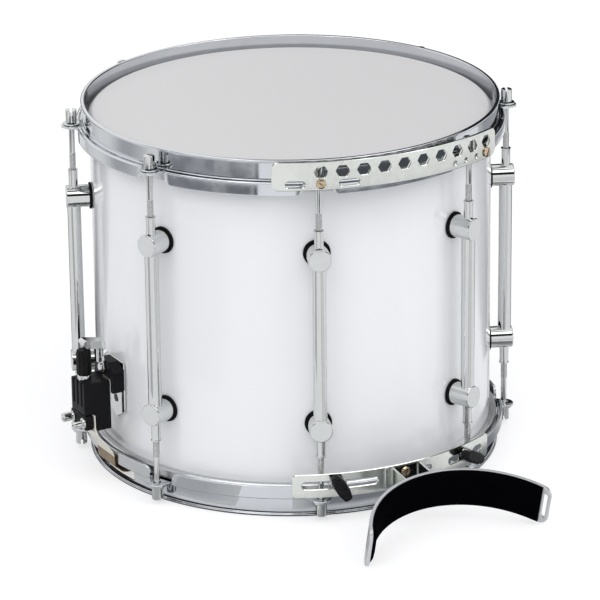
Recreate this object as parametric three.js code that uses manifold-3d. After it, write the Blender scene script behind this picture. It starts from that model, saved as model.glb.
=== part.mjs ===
// A marching snare drum, 14 inches across and 12 inches deep, with its strainer,
// carrier plate and leg rest. Millimetres, +Z up, origin at the centre of the batter head.
import * as THREE from "three";
import { mergeVertices } from "three/addons/utils/BufferGeometryUtils.js";
import Module from "manifold-3d";

const wasm = await Module();
wasm.setup();

// Fits and facets
const seat = 0.3;
const overrun = 2;
const ringSides = 48;
const postSides = 12;
const tubeSides = 10;
const rodSides = 8;

// Shell
const shellRadius = 178;
const shellDepth = 304.8;
const shellWall = 6;
const ventRadius = 6;
const grommetWall = 1.6;
const grommetFlange = 3;
const grommetThickness = 1.5;

// Heads and flesh hoops
const filmThickness = 0.5;
const collarDrop = 17.4;
const fleshWidth = 4.9;
const fleshHeight = 8.4;
const fleshChamfer = 1;

// Counter hoops, measured outwards and towards the rim
const hoopWall = 2.3;
const hoopGap = 2.7;
const hoopRise = 10.4;
const shelfDepth = 18.1;
const lipWidth = 3.8;
const skirtGap = 3.7;
const skirtHeight = 12.1;
const earRadius = 9;
const earRootHalf = 12;
const skirtGapHalf = 12.4;
const gateHalfAngle = 10.5;
const gateLow = 5.8;
const gateHigh = 16.8;

// Lugs and tension rods
const lugCount = 8;
const rodReach = 3.9;
const rodRadius = 2.6;
const threadRadius = 2.85;
const threadLength = 15.9;
const rodHoleRadius = 3.3;
const rodEngagement = 11.5;
const washerRadius = 7.5;
const washerThickness = 1.6;
const rodHeadRadius = 5;
const rodHeadHeight = 11.8;
const rodSlotWidth = 2.2;
const rodSlotDepth = 4.6;
const postOffset = 77.8;
const postRadius = 10;
const postReach = 7;
const postChamfer = 0.9;
const gasketRadius = 12.5;
const gasketThickness = 2;
const tubeRadius = 6;
const sleeveRadius = 4;
const sleeveLength = 15.4;

// Carrier plate, its brackets and screws
const plateReach = 18.1;
const plateWall = 2.3;
const plateHeight = 25;
const plateRise = 0.1;
const plateStartAngle = -33.75;
const plateEndAngle = 26.25;
const plateSteps = 24;
const plateCorner = 6;
const hexCount = 10;
const hexPitchAngle = 5;
const hexHalfWidth = 6;
const hexHalfHeight = 4.8;
const hexHeight = 15.9;
const lowRowHeight = 5.5;
const lowSlotHalf = 2.7;
const lowHoleRadius = 2;
const bracketWidth = 16;
const bracketWall = 2.3;
const bracketLegHeight = 10.4;
const carrierScrewHeight = 5.9;
const screwShank = 2;
const screwHole = 2.6;
const carrierHeadRadius = 4.3;
const carrierHeadHeight = 1.8;
const screwSlotWidth = 1.1;
const screwSlotDepth = 0.9;

// Snares and their straps
const strandCount = 12;
const strandRadius = 1;
const strandPitch = 3.4;
const strandInset = 26;
const snareEndLength = 10;
const snareEndThickness = 2.6;
const strapWidth = 32;
const strapThickness = 0.8;
const strapGap = 0.8;

// Strainer
const backplateWall = 1.6;
const backplateHalf = 16;
const backplateTop = 112;
const backplateShoulder = 66;
const backplateTip = 56;
const backplateHole = 3.6;
const backplateHoleHeight = 74;
const baseDepth = 11;
const baseHalf = 17.5;
const baseLow = 85;
const baseTop = 112.5;
const baseChamfer = 8;
const sliderHalf = 13;
const sliderDepth = 26;
const sliderLow = 52;
const sliderTop = 98;
const grooveDepth = 1.2;
const grooveCount = 3;
const collarRadius = 6.2;
const collarHeight = 5;
const knobRadius = 6.75;
const knobHeight = 23;
const knobPlace = 6.9;
const knobFlutes = 10;
const fluteDepth = 0.6;
const knobStem = 2;
const stemHole = 2.5;
const stemLength = 12;
const clampRecess = 9;
const clampBlockWall = 7.5;
const clampPlateWall = 4;
const clampHeight = 13.5;
const clampHalf = 15;
const clampLow = 54.5;
const strapDrop = 5;
const keyPlaceHalf = 10.2;
const keyHeadRadius = 4;
const keyHeadLength = 10.5;
const keyFlange = 4.9;
const keyFlangeThickness = 1.2;
const keyShank = 1.8;
const keyHole = 2.2;
const keyDepth = 9;
const leverWall = 2.4;
const leverHalf = 2;
const leverDepth = 6;
const leverPivot = 106;
const leverFoot = 5;
const leverNeck = 5.5;
const leverTop = 132;
const paddleReach = 19.6;
const paddleWall = 1.8;
const paddleHalf = 5.5;
const paddleHeight = 7.6;
const paddleRise = 3.6;
const paddleNose = 3;
const pinRadius = 2.6;
const pinHole = 3;
const pinHead = 3.8;
const pinHeadWall = 1.4;

// Butt end
const buttDepth = 20;
const buttHalf = 17;
const buttLow = 44;
const buttTop = 82;
const buttFoot = 4;
const buttClampLow = 50;

// Leg rest
const restRadius = 98;
const restWall = 3;
const restHeight = 37;
const restDrop = 21.3;
const restCentreX = -3.5;
const restReach = 7.8;
const restDroopAngle = 13.6;
const restHalfAngle = 68.5;
const restSteps = 30;
const restCorner = 8;
const restSlotWidth = 4;
const restSlotHeight = 24;
const restSlotInset = 2.3;
const padThickness = 4.6;
const padCrown = 1.2;
const padHalfAngle = 63.3;
const pivotRise = 1;
const pivotReach = 22;
const tabWall = 2.4;
const tabInner = 9.4;
const tabEye = 4.6;
const tabRootHalf = 12;
const armWall = 2.3;
const armGap = 0.6;
const armEye = 5.2;
const armRootHalf = 8.5;
const boltRadius = 2.5;
const boltHole = 3;
const boltHeadRadius = 4.6;
const boltHeadWall = 2.4;

// Leg rest bracket, its clamps and wing screws
const stripReach = 10.1;
const stripWall = 2.3;
const stripDrop = 11.5;
const stripHeight = 22;
const stripStartAngle = -30;
const stripEndAngle = 27.5;
const stripSteps = 23;
const stripCorner = 5;
const stripSlotHalf = 3.5;
const stripSlotRise = 6.3;
const longSlotStartAngle = -27.5;
const longSlotEndAngle = -8.5;
const shortSlotStartAngle = 12;
const shortSlotEndAngle = 24.5;
const middleSlotStartAngle = -4.2;
const middleSlotEndAngle = 2.2;
const middleSlotHalf = 8;
const windowStartAngle = 4;
const windowEndAngle = 6.5;
const clampAngle = 18.3;
const hookHalf = 7;
const hookRise = 6.5;
const hookLap = 0.4;
const hookWall = 2.5;
const hookLipDrop = 5.7;
const leftWingAngle = 60;
const rightWingAngle = 26;
const wingShank = 2.5;
const wingHole = 3;
const wingReach = 9.5;
const wingHalfLength = 13;
const wingHalfWidth = 5.6;
const wingThickness = 9;
const wingBoss = 5;
const wingBossHeight = 2.6;

// Derived heights, from the middle of the shell
const edge = shellDepth / 2;
const rim = edge + hoopRise;
const shelfTop = rim - shelfDepth;
const shelfUnder = shelfTop - hoopWall;
const skirtEdge = shelfTop - skirtHeight;
const earTop = shelfTop + seat;
const headTop = edge + seat + filmThickness;
const collarRadiusOut = shellRadius + seat + filmThickness;
const fleshInner = collarRadiusOut + seat;
const hoopRadius = collarRadiusOut + hoopGap;
const skirtRadius = fleshInner + fleshWidth + skirtGap + hoopWall;
const rodCircle = skirtRadius + rodReach;
const postFront = rodCircle + postReach;
const plateRadius = rodCircle + plateReach;
const stripRadius = rodCircle + stripReach;
const restApex = stripRadius + pivotReach + restReach;
const strandReach = shellRadius - strandInset;
const floor = -rim;
const backFace = shellRadius + seat;
const skirtTop = floor + shelfDepth + skirtHeight;
const slotRow = skirtTop + stripSlotRise;
const lugAngles = Array.from({ length: lugCount }, (_, i) => ((i - 2.5) * 360) / lugCount);

const rad = THREE.MathUtils.degToRad;

// Solids and booleans
function solid(source) {
  const bare = source.clone();
  bare.deleteAttribute("normal");
  bare.deleteAttribute("uv");
  const merged = mergeVertices(bare, 1e-4);
  const made = new wasm.Manifold(
    new wasm.Mesh({
      numProp: 3,
      vertProperties: merged.attributes.position.array,
      triVerts: new Uint32Array(merged.index.array),
    }),
  );
  return made;
}

function geometryOf(body) {
  const mesh = body.getMesh();
  const geometry = new THREE.BufferGeometry();
  geometry.setAttribute("position", new THREE.BufferAttribute(mesh.vertProperties, 3));
  geometry.setIndex(new THREE.BufferAttribute(mesh.triVerts, 1));
  const flat = geometry.toNonIndexed();
  flat.computeVertexNormals();
  return flat;
}

const join = (first, ...rest) => rest.reduce((sum, body) => sum.add(body), first);
const cut = (first, ...rest) => rest.reduce((left, body) => left.subtract(body), first);

// A body turned about Z so that what faced -Y faces the given angle
function turned(body, degrees) {
  return body.transform(new THREE.Matrix4().makeRotationZ(rad(degrees)).elements);
}

// A closed outline of [radius, height] turned about Z
function lathed(outline, sides) {
  const points = outline.map(([radius, height]) => new THREE.Vector2(radius, height));
  if (THREE.ShapeUtils.area(points) < 0) points.reverse();
  if (points.every((point) => point.x > 0)) points.push(points[0].clone());
  return solid(new THREE.LatheGeometry(points, sides).rotateX(Math.PI / 2));
}

// A lathed body whose axis points outwards from the drum, at the given height
function radial(outline, sides, height = 0, sideways = 0) {
  const place = new THREE.Matrix4().makeTranslation(sideways, 0, height);
  const aim = new THREE.Matrix4().makeRotationX(Math.PI / 2);
  return lathed(outline, sides).transform(place.multiply(aim).elements);
}

function shapeOf(outline) {
  return new THREE.Shape(outline.map(([x, y]) => new THREE.Vector2(x, y)));
}

// A plan outline raised from one height to another
function prism(shape, low, high, curveSegments = 3) {
  const depth = high - low;
  const made = new THREE.ExtrudeGeometry(shape, { depth, bevelEnabled: false, curveSegments });
  return solid(made.translate(0, 0, low));
}

// An outline of [y, z] carried along X
function sidePrism(shape, low, high, curveSegments = 3) {
  const depth = high - low;
  const made = new THREE.ExtrudeGeometry(shape, { depth, bevelEnabled: false, curveSegments });
  const basis = new THREE.Matrix4().makeBasis(
    new THREE.Vector3(0, 1, 0),
    new THREE.Vector3(0, 0, 1),
    new THREE.Vector3(1, 0, 0),
  );
  return solid(made.applyMatrix4(basis).translate(low, 0, 0));
}

function box([x0, x1], [y0, y1], [z0, z1]) {
  const made = new THREE.BoxGeometry(x1 - x0, y1 - y0, z1 - z0);
  return solid(made.translate((x0 + x1) / 2, (y0 + y1) / 2, (z0 + z1) / 2));
}

// A rectangle with round corners, as a closed shape
function roundedShape(x0, x1, y0, y1, corner) {
  const shape = new THREE.Shape();
  shape.moveTo(x0 + corner, y0);
  shape.lineTo(x1 - corner, y0);
  shape.absarc(x1 - corner, y0 + corner, corner, -Math.PI / 2, 0);
  shape.lineTo(x1, y1 - corner);
  shape.absarc(x1 - corner, y1 - corner, corner, 0, Math.PI / 2);
  shape.lineTo(x0 + corner, y1);
  shape.absarc(x0 + corner, y1 - corner, corner, Math.PI / 2, Math.PI);
  shape.lineTo(x0, y0 + corner);
  shape.absarc(x0 + corner, y0 + corner, corner, Math.PI, Math.PI * 1.5);
  return shape;
}

// An outline of [sideways, height] pushed outwards from the drum between two radii
function outwardPrism(shape, inner, outer, curveSegments = 2) {
  const depth = outer - inner;
  const made = new THREE.ExtrudeGeometry(shape, { depth, bevelEnabled: false, curveSegments });
  return solid(made.rotateX(Math.PI / 2).translate(0, -inner, 0));
}

// A slice of a round band between two angles, facing -Y at zero
function arcBand(inner, outer, start, end, steps, low, high) {
  const at = (radius, step) => {
    const angle = rad(start + ((end - start) * step) / steps);
    return [radius * Math.sin(angle), -radius * Math.cos(angle)];
  };
  const order = Array.from({ length: steps + 1 }, (_, i) => i);
  const outside = order.map((step) => at(outer, step));
  const inside = order.reverse().map((step) => at(inner, step));
  return prism(shapeOf([...outside, ...inside]), low, high);
}

// What rounds off the four corners of an arc band
function bandCorners(radius, start, end, low, high, corner) {
  const places = [
    [start, low, 1, 1],
    [start, high, 1, -1],
    [end, low, -1, 1],
    [end, high, -1, -1],
  ];
  return places.map(([angle, height, along, up]) => {
    const shape = new THREE.Shape();
    shape.moveTo(-overrun * along, height - overrun * up);
    shape.lineTo(corner * along, height - overrun * up);
    shape.lineTo(corner * along, height);
    shape.absarc(
      corner * along,
      height + corner * up,
      corner,
      (-up * Math.PI) / 2,
      along > 0 ? Math.PI : 0,
      along * up > 0,
    );
    shape.lineTo(-overrun * along, height + corner * up);
    return turned(outwardPrism(shape, radius / 2, radius + overrun), angle);
  });
}

// A flat ribbon that follows a path of [x, z] and is spread across Y
function ribbon(path, thickness, width) {
  const points = path.map(([x, z]) => new THREE.Vector2(x, z));
  const side = (offset) =>
    points.map((point, i) => {
      const before = points[Math.max(i - 1, 0)];
      const after = points[Math.min(i + 1, points.length - 1)];
      const along = after.clone().sub(before).normalize();
      return [point.x - along.y * offset, point.y + along.x * offset];
    });
  const outline = [...side(thickness / 2), ...side(-thickness / 2).reverse()];
  const made = new THREE.ExtrudeGeometry(shapeOf(outline), { depth: width, bevelEnabled: false });
  return solid(made.rotateX(Math.PI / 2).translate(0, width / 2, 0));
}

// Shell with a bevelled bearing edge at each end and a vent in the back
function shellBody() {
  const half = shellWall / 2;
  const inner = shellRadius - shellWall;
  const upper = [
    [shellRadius, edge - half],
    [shellRadius - half, edge],
    [inner, edge - half],
  ];
  const lower = upper.map(([radius, height]) => [radius, -height]).reverse();
  const wall = lathed([...upper, ...lower], ringSides);
  const vent = [
    [0, inner - overrun],
    [ventRadius, inner - overrun],
    [ventRadius, shellRadius + overrun],
    [0, shellRadius + overrun],
  ];
  return cut(wall, turned(radial(vent, tubeSides), 180));
}

// Vent grommet: a flanged sleeve through the shell
function grommetBody() {
  const inner = shellRadius - shellWall;
  const sleeve = ventRadius - seat;
  const flange = ventRadius + grommetFlange;
  const outline = [
    [sleeve - grommetWall, inner],
    [sleeve, inner],
    [sleeve, backFace],
    [flange, backFace],
    [flange, backFace + grommetThickness],
    [sleeve - grommetWall, backFace + grommetThickness],
  ];
  return turned(radial(outline, tubeSides), 180);
}

// Head film with its collar, batter side up
function headBody() {
  const half = shellWall / 2;
  const under = edge + seat;
  const collarEnd = edge - collarDrop;
  const inner = shellRadius + seat;
  return lathed(
    [
      [0, under],
      [shellRadius - half, under],
      [inner, under - half - seat],
      [inner, collarEnd],
      [collarRadiusOut, collarEnd],
      [collarRadiusOut, under - half],
      [shellRadius - half + seat, headTop],
      [0, headTop],
    ],
    ringSides,
  );
}

// Flesh hoop, the ring that the film is held in
function fleshHoopBody() {
  const high = shelfUnder - seat;
  const low = high - fleshHeight;
  const outer = fleshInner + fleshWidth;
  return lathed(
    [
      [fleshInner, low],
      [outer - fleshChamfer, low],
      [outer, low + fleshChamfer],
      [outer, high],
      [fleshInner, high],
    ],
    ringSides,
  );
}

// One ear that a tension rod passes through
function earBody() {
  const root = hoopRadius + hoopWall;
  const shape = new THREE.Shape();
  shape.moveTo(earRootHalf, -root);
  shape.lineTo(-earRootHalf, -root);
  shape.lineTo(-earRadius, -rodCircle);
  shape.absarc(0, -rodCircle, earRadius, Math.PI, Math.PI * 2);
  return prism(shape, shelfUnder, shelfTop);
}

// Counter hoop: wall with a turned lip, shelf, skirt, and an ear at each lug
function hoopBody(withGates) {
  const outer = hoopRadius + hoopWall;
  const lip = hoopRadius + lipWidth;
  const ring = lathed(
    [
      [hoopRadius, shelfUnder],
      [skirtRadius - hoopWall, shelfUnder],
      [skirtRadius - hoopWall, skirtEdge],
      [skirtRadius, skirtEdge],
      [skirtRadius, shelfTop],
      [outer, shelfTop],
      [outer, rim - hoopWall],
      [lip, rim - hoopWall],
      [lip, rim],
      [hoopRadius, rim],
    ],
    ringSides,
  );
  const gapInner = skirtRadius - hoopWall - overrun / 2;
  const gap = box(
    [-skirtGapHalf, skirtGapHalf],
    [-skirtRadius - overrun, -gapInner],
    [skirtEdge - overrun, shelfTop + overrun],
  );
  const hole = cylinderAt(rodHoleRadius, rodSides, shelfUnder - overrun, shelfTop + overrun);
  let body = ring;
  for (const angle of lugAngles) {
    const ear = cut(join(earBody()), hole);
    body = join(cut(body, turned(gap, angle)), turned(ear, angle));
  }
  if (!withGates) return body;
  const start = -gateHalfAngle;
  const gate = arcBand(
    hoopRadius - overrun,
    outer + overrun,
    start,
    gateHalfAngle,
    gateSteps,
    rim - gateHigh,
    rim - gateLow,
  );
  return cut(body, turned(gate, 90), turned(gate, -90));
}
const gateSteps = 3;

// An upright cylinder on the rod circle
function cylinderAt(radius, sides, low, high) {
  const outline = [
    [0, low],
    [radius, low],
    [radius, high],
    [0, high],
  ];
  const place = new THREE.Matrix4().makeTranslation(0, -rodCircle, 0);
  return lathed(outline, sides).transform(place.elements);
}

// Tube lug: one tube, a threaded sleeve at each end and two posts with gaskets
function lugBody() {
  const sleeveEnd = postOffset + postRadius + sleeveLength;
  const boreEnd = sleeveEnd - rodEngagement - seat;
  const upper = [
    [0, sleeveEnd],
    [sleeveRadius, sleeveEnd],
    [sleeveRadius, postOffset],
    [tubeRadius, postOffset],
  ];
  const lower = upper.map(([radius, height]) => [radius, -height]).reverse();
  const place = new THREE.Matrix4().makeTranslation(0, -rodCircle, 0);
  const tube = lathed([...upper, ...lower], tubeSides).transform(place.elements);
  const gasketFace = backFace + gasketThickness;
  const post = [
    [0, backFace],
    [gasketRadius, backFace],
    [gasketRadius, gasketFace],
    [postRadius, gasketFace],
    [postRadius, postFront - postChamfer],
    [postRadius - postChamfer, postFront],
    [0, postFront],
  ];
  const posts = [postOffset, -postOffset].map((height) => radial(post, postSides, height));
  const blank = join(tube, ...posts);
  const bore = cylinderAt(rodHoleRadius, rodSides, boreEnd, sleeveEnd + overrun);
  const otherBore = cylinderAt(rodHoleRadius, rodSides, -sleeveEnd - overrun, -boreEnd);
  return cut(blank, bore, otherBore);
}

// Tension rod with its slotted head and washer, standing on the ear or on what lies on it
function rodBody(lift) {
  const low = postOffset + postRadius + sleeveLength - rodEngagement;
  const threadEnd = postOffset + postRadius + sleeveLength + threadLength;
  const washerLow = earTop + lift;
  const headLow = washerLow + washerThickness;
  const top = headLow + rodHeadHeight;
  const body = lathed(
    [
      [0, low],
      [threadRadius, low],
      [threadRadius, threadEnd],
      [rodRadius, threadEnd],
      [rodRadius, washerLow],
      [washerRadius, washerLow],
      [washerRadius, headLow],
      [rodHeadRadius, headLow],
      [rodHeadRadius, top],
      [0, top],
    ],
    rodSides,
  );
  const slot = box(
    [-rodHeadRadius - overrun, rodHeadRadius + overrun],
    [-rodSlotWidth / 2, rodSlotWidth / 2],
    [top - rodSlotDepth, top + overrun],
  );
  return cut(body, slot);
}

// Carrier plate: a curved plate with a row of hex holes and a lower row of slots
function carrierPlateBody() {
  const low = shelfTop + plateRise;
  const high = low + plateHeight;
  const inner = plateRadius - plateWall;
  const band = arcBand(inner, plateRadius, plateStartAngle, plateEndAngle, plateSteps, low, high);
  const holes = [];
  const throughPlate = (shape, angle) => {
    holes.push(turned(outwardPrism(shape, inner - overrun, plateRadius + overrun), angle));
  };
  for (let i = 0; i < hexCount; i += 1) {
    const half = hexHalfWidth;
    const shape = shapeOf(
      [
        [-half, 0],
        [-half / 2, -hexHalfHeight],
        [half / 2, -hexHalfHeight],
        [half, 0],
        [half / 2, hexHalfHeight],
        [-half / 2, hexHalfHeight],
      ].map(([x, z]) => [x, z + low + hexHeight]),
    );
    throughPlate(shape, (i - (hexCount - 1) / 2) * hexPitchAngle);
  }
  const row = low + lowRowHeight;
  for (const [start, end] of lowSlotShares.map((pair) => pair.map(hexStep))) {
    const half = (rad(end - start) * plateRadius) / 2;
    const shape = roundedShape(-half, half, row - lowSlotHalf, row + lowSlotHalf, lowSlotHalf);
    throughPlate(shape, (start + end) / 2);
  }
  const drill = (radius, height, angle) => {
    const hole = rod2d(radius, inner - overrun, plateRadius + overrun);
    holes.push(turned(radial(hole, rodSides, height), angle));
  };
  for (const angle of lowHoleShares.map(hexStep)) drill(lowHoleRadius, row, angle);
  for (const angle of carrierAngles) drill(screwHole, low + carrierScrewHeight, angle);
  const corners = bandCorners(plateRadius, plateStartAngle, plateEndAngle, low, high, plateCorner);
  return cut(band, ...holes, ...corners);
}
const hexStep = (share) => share * hexPitchAngle;
const lowSlotShares = [
  [-6.12, -5.22],
  [-3.66, -2.7],
];
const lowHoleShares = [2.34, 3.04, 3.76];
const carrierAngles = [lugAngles[2], lugAngles[3]];

// Bracket under a rod head that holds the carrier plate off the hoop
function carrierBracketBody() {
  const low = earTop;
  const legOut = plateRadius - plateWall - 2 * seat;
  const legIn = legOut - bracketWall;
  const half = bracketWidth / 2;
  const tab = box([-half, half], [-legOut, -rodCircle], [low, low + bracketWall]);
  const leg = box([-half, half], [-legOut, -legIn], [low, low + bracketLegHeight]);
  const nose = cylinderAt(half, tubeSides, low, low + bracketWall);
  const rodHole = cylinderAt(rodHoleRadius, tubeSides, low - overrun, low + bracketWall + overrun);
  const place = shelfTop + plateRise + carrierScrewHeight;
  const screwWay = radial(rod2d(screwHole, legIn - overrun, legOut + overrun), rodSides, place);
  return cut(join(tab, leg, nose), rodHole, screwWay);
}

// The outline of a plain round rod between two distances
function rod2d(radius, from, to) {
  return [
    [0, from],
    [radius, from],
    [radius, to],
    [0, to],
  ];
}

// Slotted screw that joins the carrier plate to its bracket
function carrierScrewBody() {
  const face = plateRadius + seat;
  const top = face + carrierHeadHeight;
  const end = plateRadius - plateWall - 2 * seat - bracketWall - overrun;
  const place = shelfTop + plateRise + carrierScrewHeight;
  const outline = [
    [0, end],
    [screwShank, end],
    [screwShank, face],
    [carrierHeadRadius, face],
    [carrierHeadRadius, top - carrierHeadHeight / 3],
    [carrierHeadRadius * 0.7, top],
    [0, top],
  ];
  const slot = box(
    [-carrierHeadRadius - overrun, carrierHeadRadius + overrun],
    [-top - overrun, -top + screwSlotDepth],
    [place - screwSlotWidth / 2, place + screwSlotWidth / 2],
  );
  return cut(radial(outline, tubeSides, place), slot);
}

// Snare strands laid side by side under the snare head, with a bar at each end
function snareBody() {
  const high = -headTop - seat;
  const low = high - snareEndThickness;
  const half = ((strandCount - 1) * strandPitch) / 2;
  const barHalf = half + strandPitch;
  const centre = high - strandRadius;
  const bars = [-1, 1].map((side) => {
    const ends = [side * (strandReach - snareEndLength), side * strandReach];
    return box([Math.min(...ends), Math.max(...ends)], [-barHalf, barHalf], [low, high]);
  });
  const reach = strandReach - snareEndLength / 2;
  const strand = lathed(rod2d(strandRadius, -reach, reach), strandSides);
  const strands = Array.from({ length: strandCount }, (_, i) => {
    const place = new THREE.Matrix4().makeTranslation(0, i * strandPitch - half, centre);
    return strand.transform(place.multiply(alongX).elements);
  });
  return join(bars[0], bars[1], ...strands);
}
const strandSides = 5;
const alongX = new THREE.Matrix4().makeRotationY(Math.PI / 2);

// Strap from a clamp face down past the skirt, in through the gate and under the head
function strapBody(faceRadius, clampTop, clampBottom) {
  const face = faceRadius + seat + strapThickness / 2;
  const outside = skirtRadius + strapGap;
  const wall = hoopRadius + hoopWall;
  const under = -headTop - seat - strapThickness;
  const gateTop = floor + gateHigh;
  const path = [
    [face, clampTop],
    [face, clampBottom],
    [outside + strapThickness / 2, floor + shelfDepth + skirtHeight],
    [outside + strapThickness / 2, gateTop + strapThickness],
    [outside - strapGap, gateTop - 2 * strapThickness],
    [(outside + wall) / 2, (gateTop + under) / 2 + strapGap],
    [wall, under + 2 * strapThickness],
    [hoopRadius, under + strapThickness],
    [shellRadius, under],
    [strandReach + seat, under],
  ];
  return ribbon(path, strapThickness, strapWidth);
}

// Holes for the two clamp screws, along the outward axis
function keyHoles(radius, from, to, height) {
  return [-keyPlaceHalf, keyPlaceHalf].map((side) =>
    radial(rod2d(radius, from, to), rodSides, height, side),
  );
}

const strainerFace = backFace + backplateWall + seat + baseDepth + seat + sliderDepth;
const strainerSeat = strainerFace - clampRecess;
const clampMiddle = floor + clampLow + clampHeight / 2;
const buttFace = backFace + buttDepth;
const buttMiddle = floor + buttClampLow + clampHeight / 2;

// A strap with its two screw holes, facing -Y
function outwardStrap(face, middle) {
  const high = middle + clampHeight / 2;
  const low = middle - clampHeight / 2 - strapDrop;
  const strap = turned(strapBody(face, high, low), -90);
  const inner = face - overrun;
  return cut(strap, ...keyHoles(keyHole, inner, face + strapThickness + overrun, middle));
}

// Clamp that presses a strap against its block
function clampBody(face, middle, wall) {
  const inner = face + strapThickness + 2 * seat;
  const shape = roundedShape(
    -clampHalf,
    clampHalf,
    middle - clampHeight / 2,
    middle + clampHeight / 2,
    clampHeight / 6,
  );
  const plate = outwardPrism(shape, inner, inner + wall, 1);
  return cut(plate, ...keyHoles(keyHole, inner - overrun, inner + wall + overrun, middle));
}

// Key screw that holds a clamp
function keyScrewBody(face, middle, wall, side) {
  const head = face + strapThickness + wall + 3 * seat;
  const outline = [
    [0, face - keyDepth],
    [keyShank, face - keyDepth],
    [keyShank, head],
    [keyFlange, head],
    [keyFlange, head + keyFlangeThickness],
    [keyHeadRadius, head + keyFlangeThickness],
    [keyHeadRadius, head + keyHeadLength],
    [0, head + keyHeadLength],
  ];
  return radial(outline, rodSides, middle, side);
}

// Chrome back plate of the strainer, pointed at its foot
function backplateBody() {
  const shape = shapeOf([
    [-backplateHalf, floor + backplateTop],
    [-backplateHalf, floor + backplateShoulder],
    [0, floor + backplateTip],
    [backplateHalf, floor + backplateShoulder],
    [backplateHalf, floor + backplateTop],
  ]);
  const plate = outwardPrism(shape, backFace, backFace + backplateWall);
  const hole = rod2d(backplateHole, backFace - overrun, backFace + backplateWall + overrun);
  return cut(plate, radial(hole, tubeSides, floor + backplateHoleHeight));
}

// Black base of the strainer with the pin that carries the lever
function strainerBaseBody() {
  const inner = backFace + backplateWall + seat;
  const outer = inner + baseDepth;
  const low = floor + baseLow;
  const top = floor + baseTop;
  const shape = shapeOf([
    [-baseHalf, low],
    [baseHalf, low],
    [baseHalf, top - baseChamfer],
    [baseHalf - baseChamfer, top],
    [-baseHalf + baseChamfer, top],
    [-baseHalf, top - baseChamfer],
  ]);
  const block = outwardPrism(shape, inner, outer);
  const pinEnd = outer + leverWall + 2 * seat;
  const pin = [
    [0, outer - overrun],
    [pinRadius, outer - overrun],
    [pinRadius, pinEnd],
    [pinHead, pinEnd],
    [pinHead, pinEnd + pinHeadWall],
    [0, pinEnd + pinHeadWall],
  ];
  return join(block, radial(pin, tubeSides, floor + leverPivot));
}

// Throw-off lever: an eye on the pin, a narrow leg and a hollow paddle out over the knob
function leverBody() {
  const inner = backFace + backplateWall + seat + baseDepth + seat;
  const outer = inner + leverWall;
  const pivot = floor + leverPivot;
  const top = floor + leverTop;
  const low = top - paddleHeight;
  const eye = new THREE.Shape();
  eye.moveTo(leverHalf, low + paddleWall);
  eye.lineTo(-leverHalf, low + paddleWall);
  eye.lineTo(-leverHalf, pivot + leverFoot + leverNeck);
  eye.lineTo(-leverFoot, pivot);
  eye.absarc(0, pivot, leverFoot, Math.PI, Math.PI * 2);
  eye.lineTo(leverHalf, pivot + leverFoot + leverNeck);
  const hole = radial(rod2d(pinHole, inner - overrun, outer + overrun), tubeSides, pivot);
  const leg = box(
    [-leverHalf, leverHalf],
    [-inner - leverDepth, -inner],
    [pivot + leverFoot + seat, low + paddleWall],
  );
  const tip = inner + paddleReach + leverWall;
  const shell = (wall) =>
    shapeOf([
      [-inner - wall, low - wall],
      [-inner - wall, top - wall],
      [-tip + paddleNose + wall, top + paddleRise - wall],
      [-tip + wall, top + paddleRise - paddleNose - wall / 2],
      [-tip + paddleNose + wall, low + paddleRise - wall],
    ]);
  const paddle = cut(
    sidePrism(shell(0), -paddleHalf, paddleHalf),
    sidePrism(shell(paddleWall), -paddleHalf + paddleWall, paddleHalf - paddleWall),
  );
  return join(cut(outwardPrism(eye, inner, outer, 4), hole), leg, paddle);
}

// Slider: the grooved box that carries the strap clamp and the tension knob
function sliderBody() {
  const low = floor + sliderLow;
  const high = floor + sliderTop;
  const block = box(
    [-sliderHalf, sliderHalf],
    [-strainerFace, -strainerFace + sliderDepth],
    [low, high],
  );
  const pitch = (2 * sliderHalf) / (2 * grooveCount + 1);
  const grooves = Array.from({ length: grooveCount }, (_, i) => {
    const start = -sliderHalf + (2 * i + 1) * pitch;
    return box(
      [start, start + pitch],
      [-strainerFace - overrun, -strainerFace + grooveDepth],
      [clampMiddle + clampHeight, high + overrun],
    );
  });
  const recess = box(
    [-sliderHalf - overrun, sliderHalf + overrun],
    [-strainerFace - overrun, -strainerSeat],
    [low - overrun, clampMiddle + clampHeight / 2 + 2 * seat],
  );
  const collar = [
    [0, high - overrun],
    [collarRadius, high - overrun],
    [collarRadius, high + collarHeight],
    [0, high + collarHeight],
  ];
  const stem = rod2d(stemHole, high + collarHeight - stemLength, high + collarHeight + overrun);
  const place = new THREE.Matrix4().makeTranslation(0, -strainerFace + knobPlace, 0).elements;
  const body = join(cut(block, recess, ...grooves), lathed(collar, tubeSides).transform(place));
  const bores = keyHoles(keyHole, strainerSeat - keyDepth - seat, strainerSeat + overrun, clampMiddle);
  return cut(body, lathed(stem, rodSides).transform(place), ...bores);
}

// Fluted tension knob with its stem
function knobBody() {
  const low = floor + sliderTop + collarHeight + seat;
  const high = low + knobHeight;
  const steps = knobFlutes * 2;
  const outline = Array.from({ length: steps }, (_, i) => {
    const radius = i % 2 === 0 ? knobRadius : knobRadius - fluteDepth;
    const angle = (i * 2 * Math.PI) / steps;
    return [radius * Math.cos(angle), radius * Math.sin(angle)];
  });
  const stem = rod2d(knobStem, low - stemLength + 2 * seat, low + overrun);
  const place = new THREE.Matrix4().makeTranslation(0, -strainerFace + knobPlace, 0).elements;
  return join(prism(shapeOf(outline), low, high), lathed(stem, rodSides)).transform(place);
}

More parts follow.
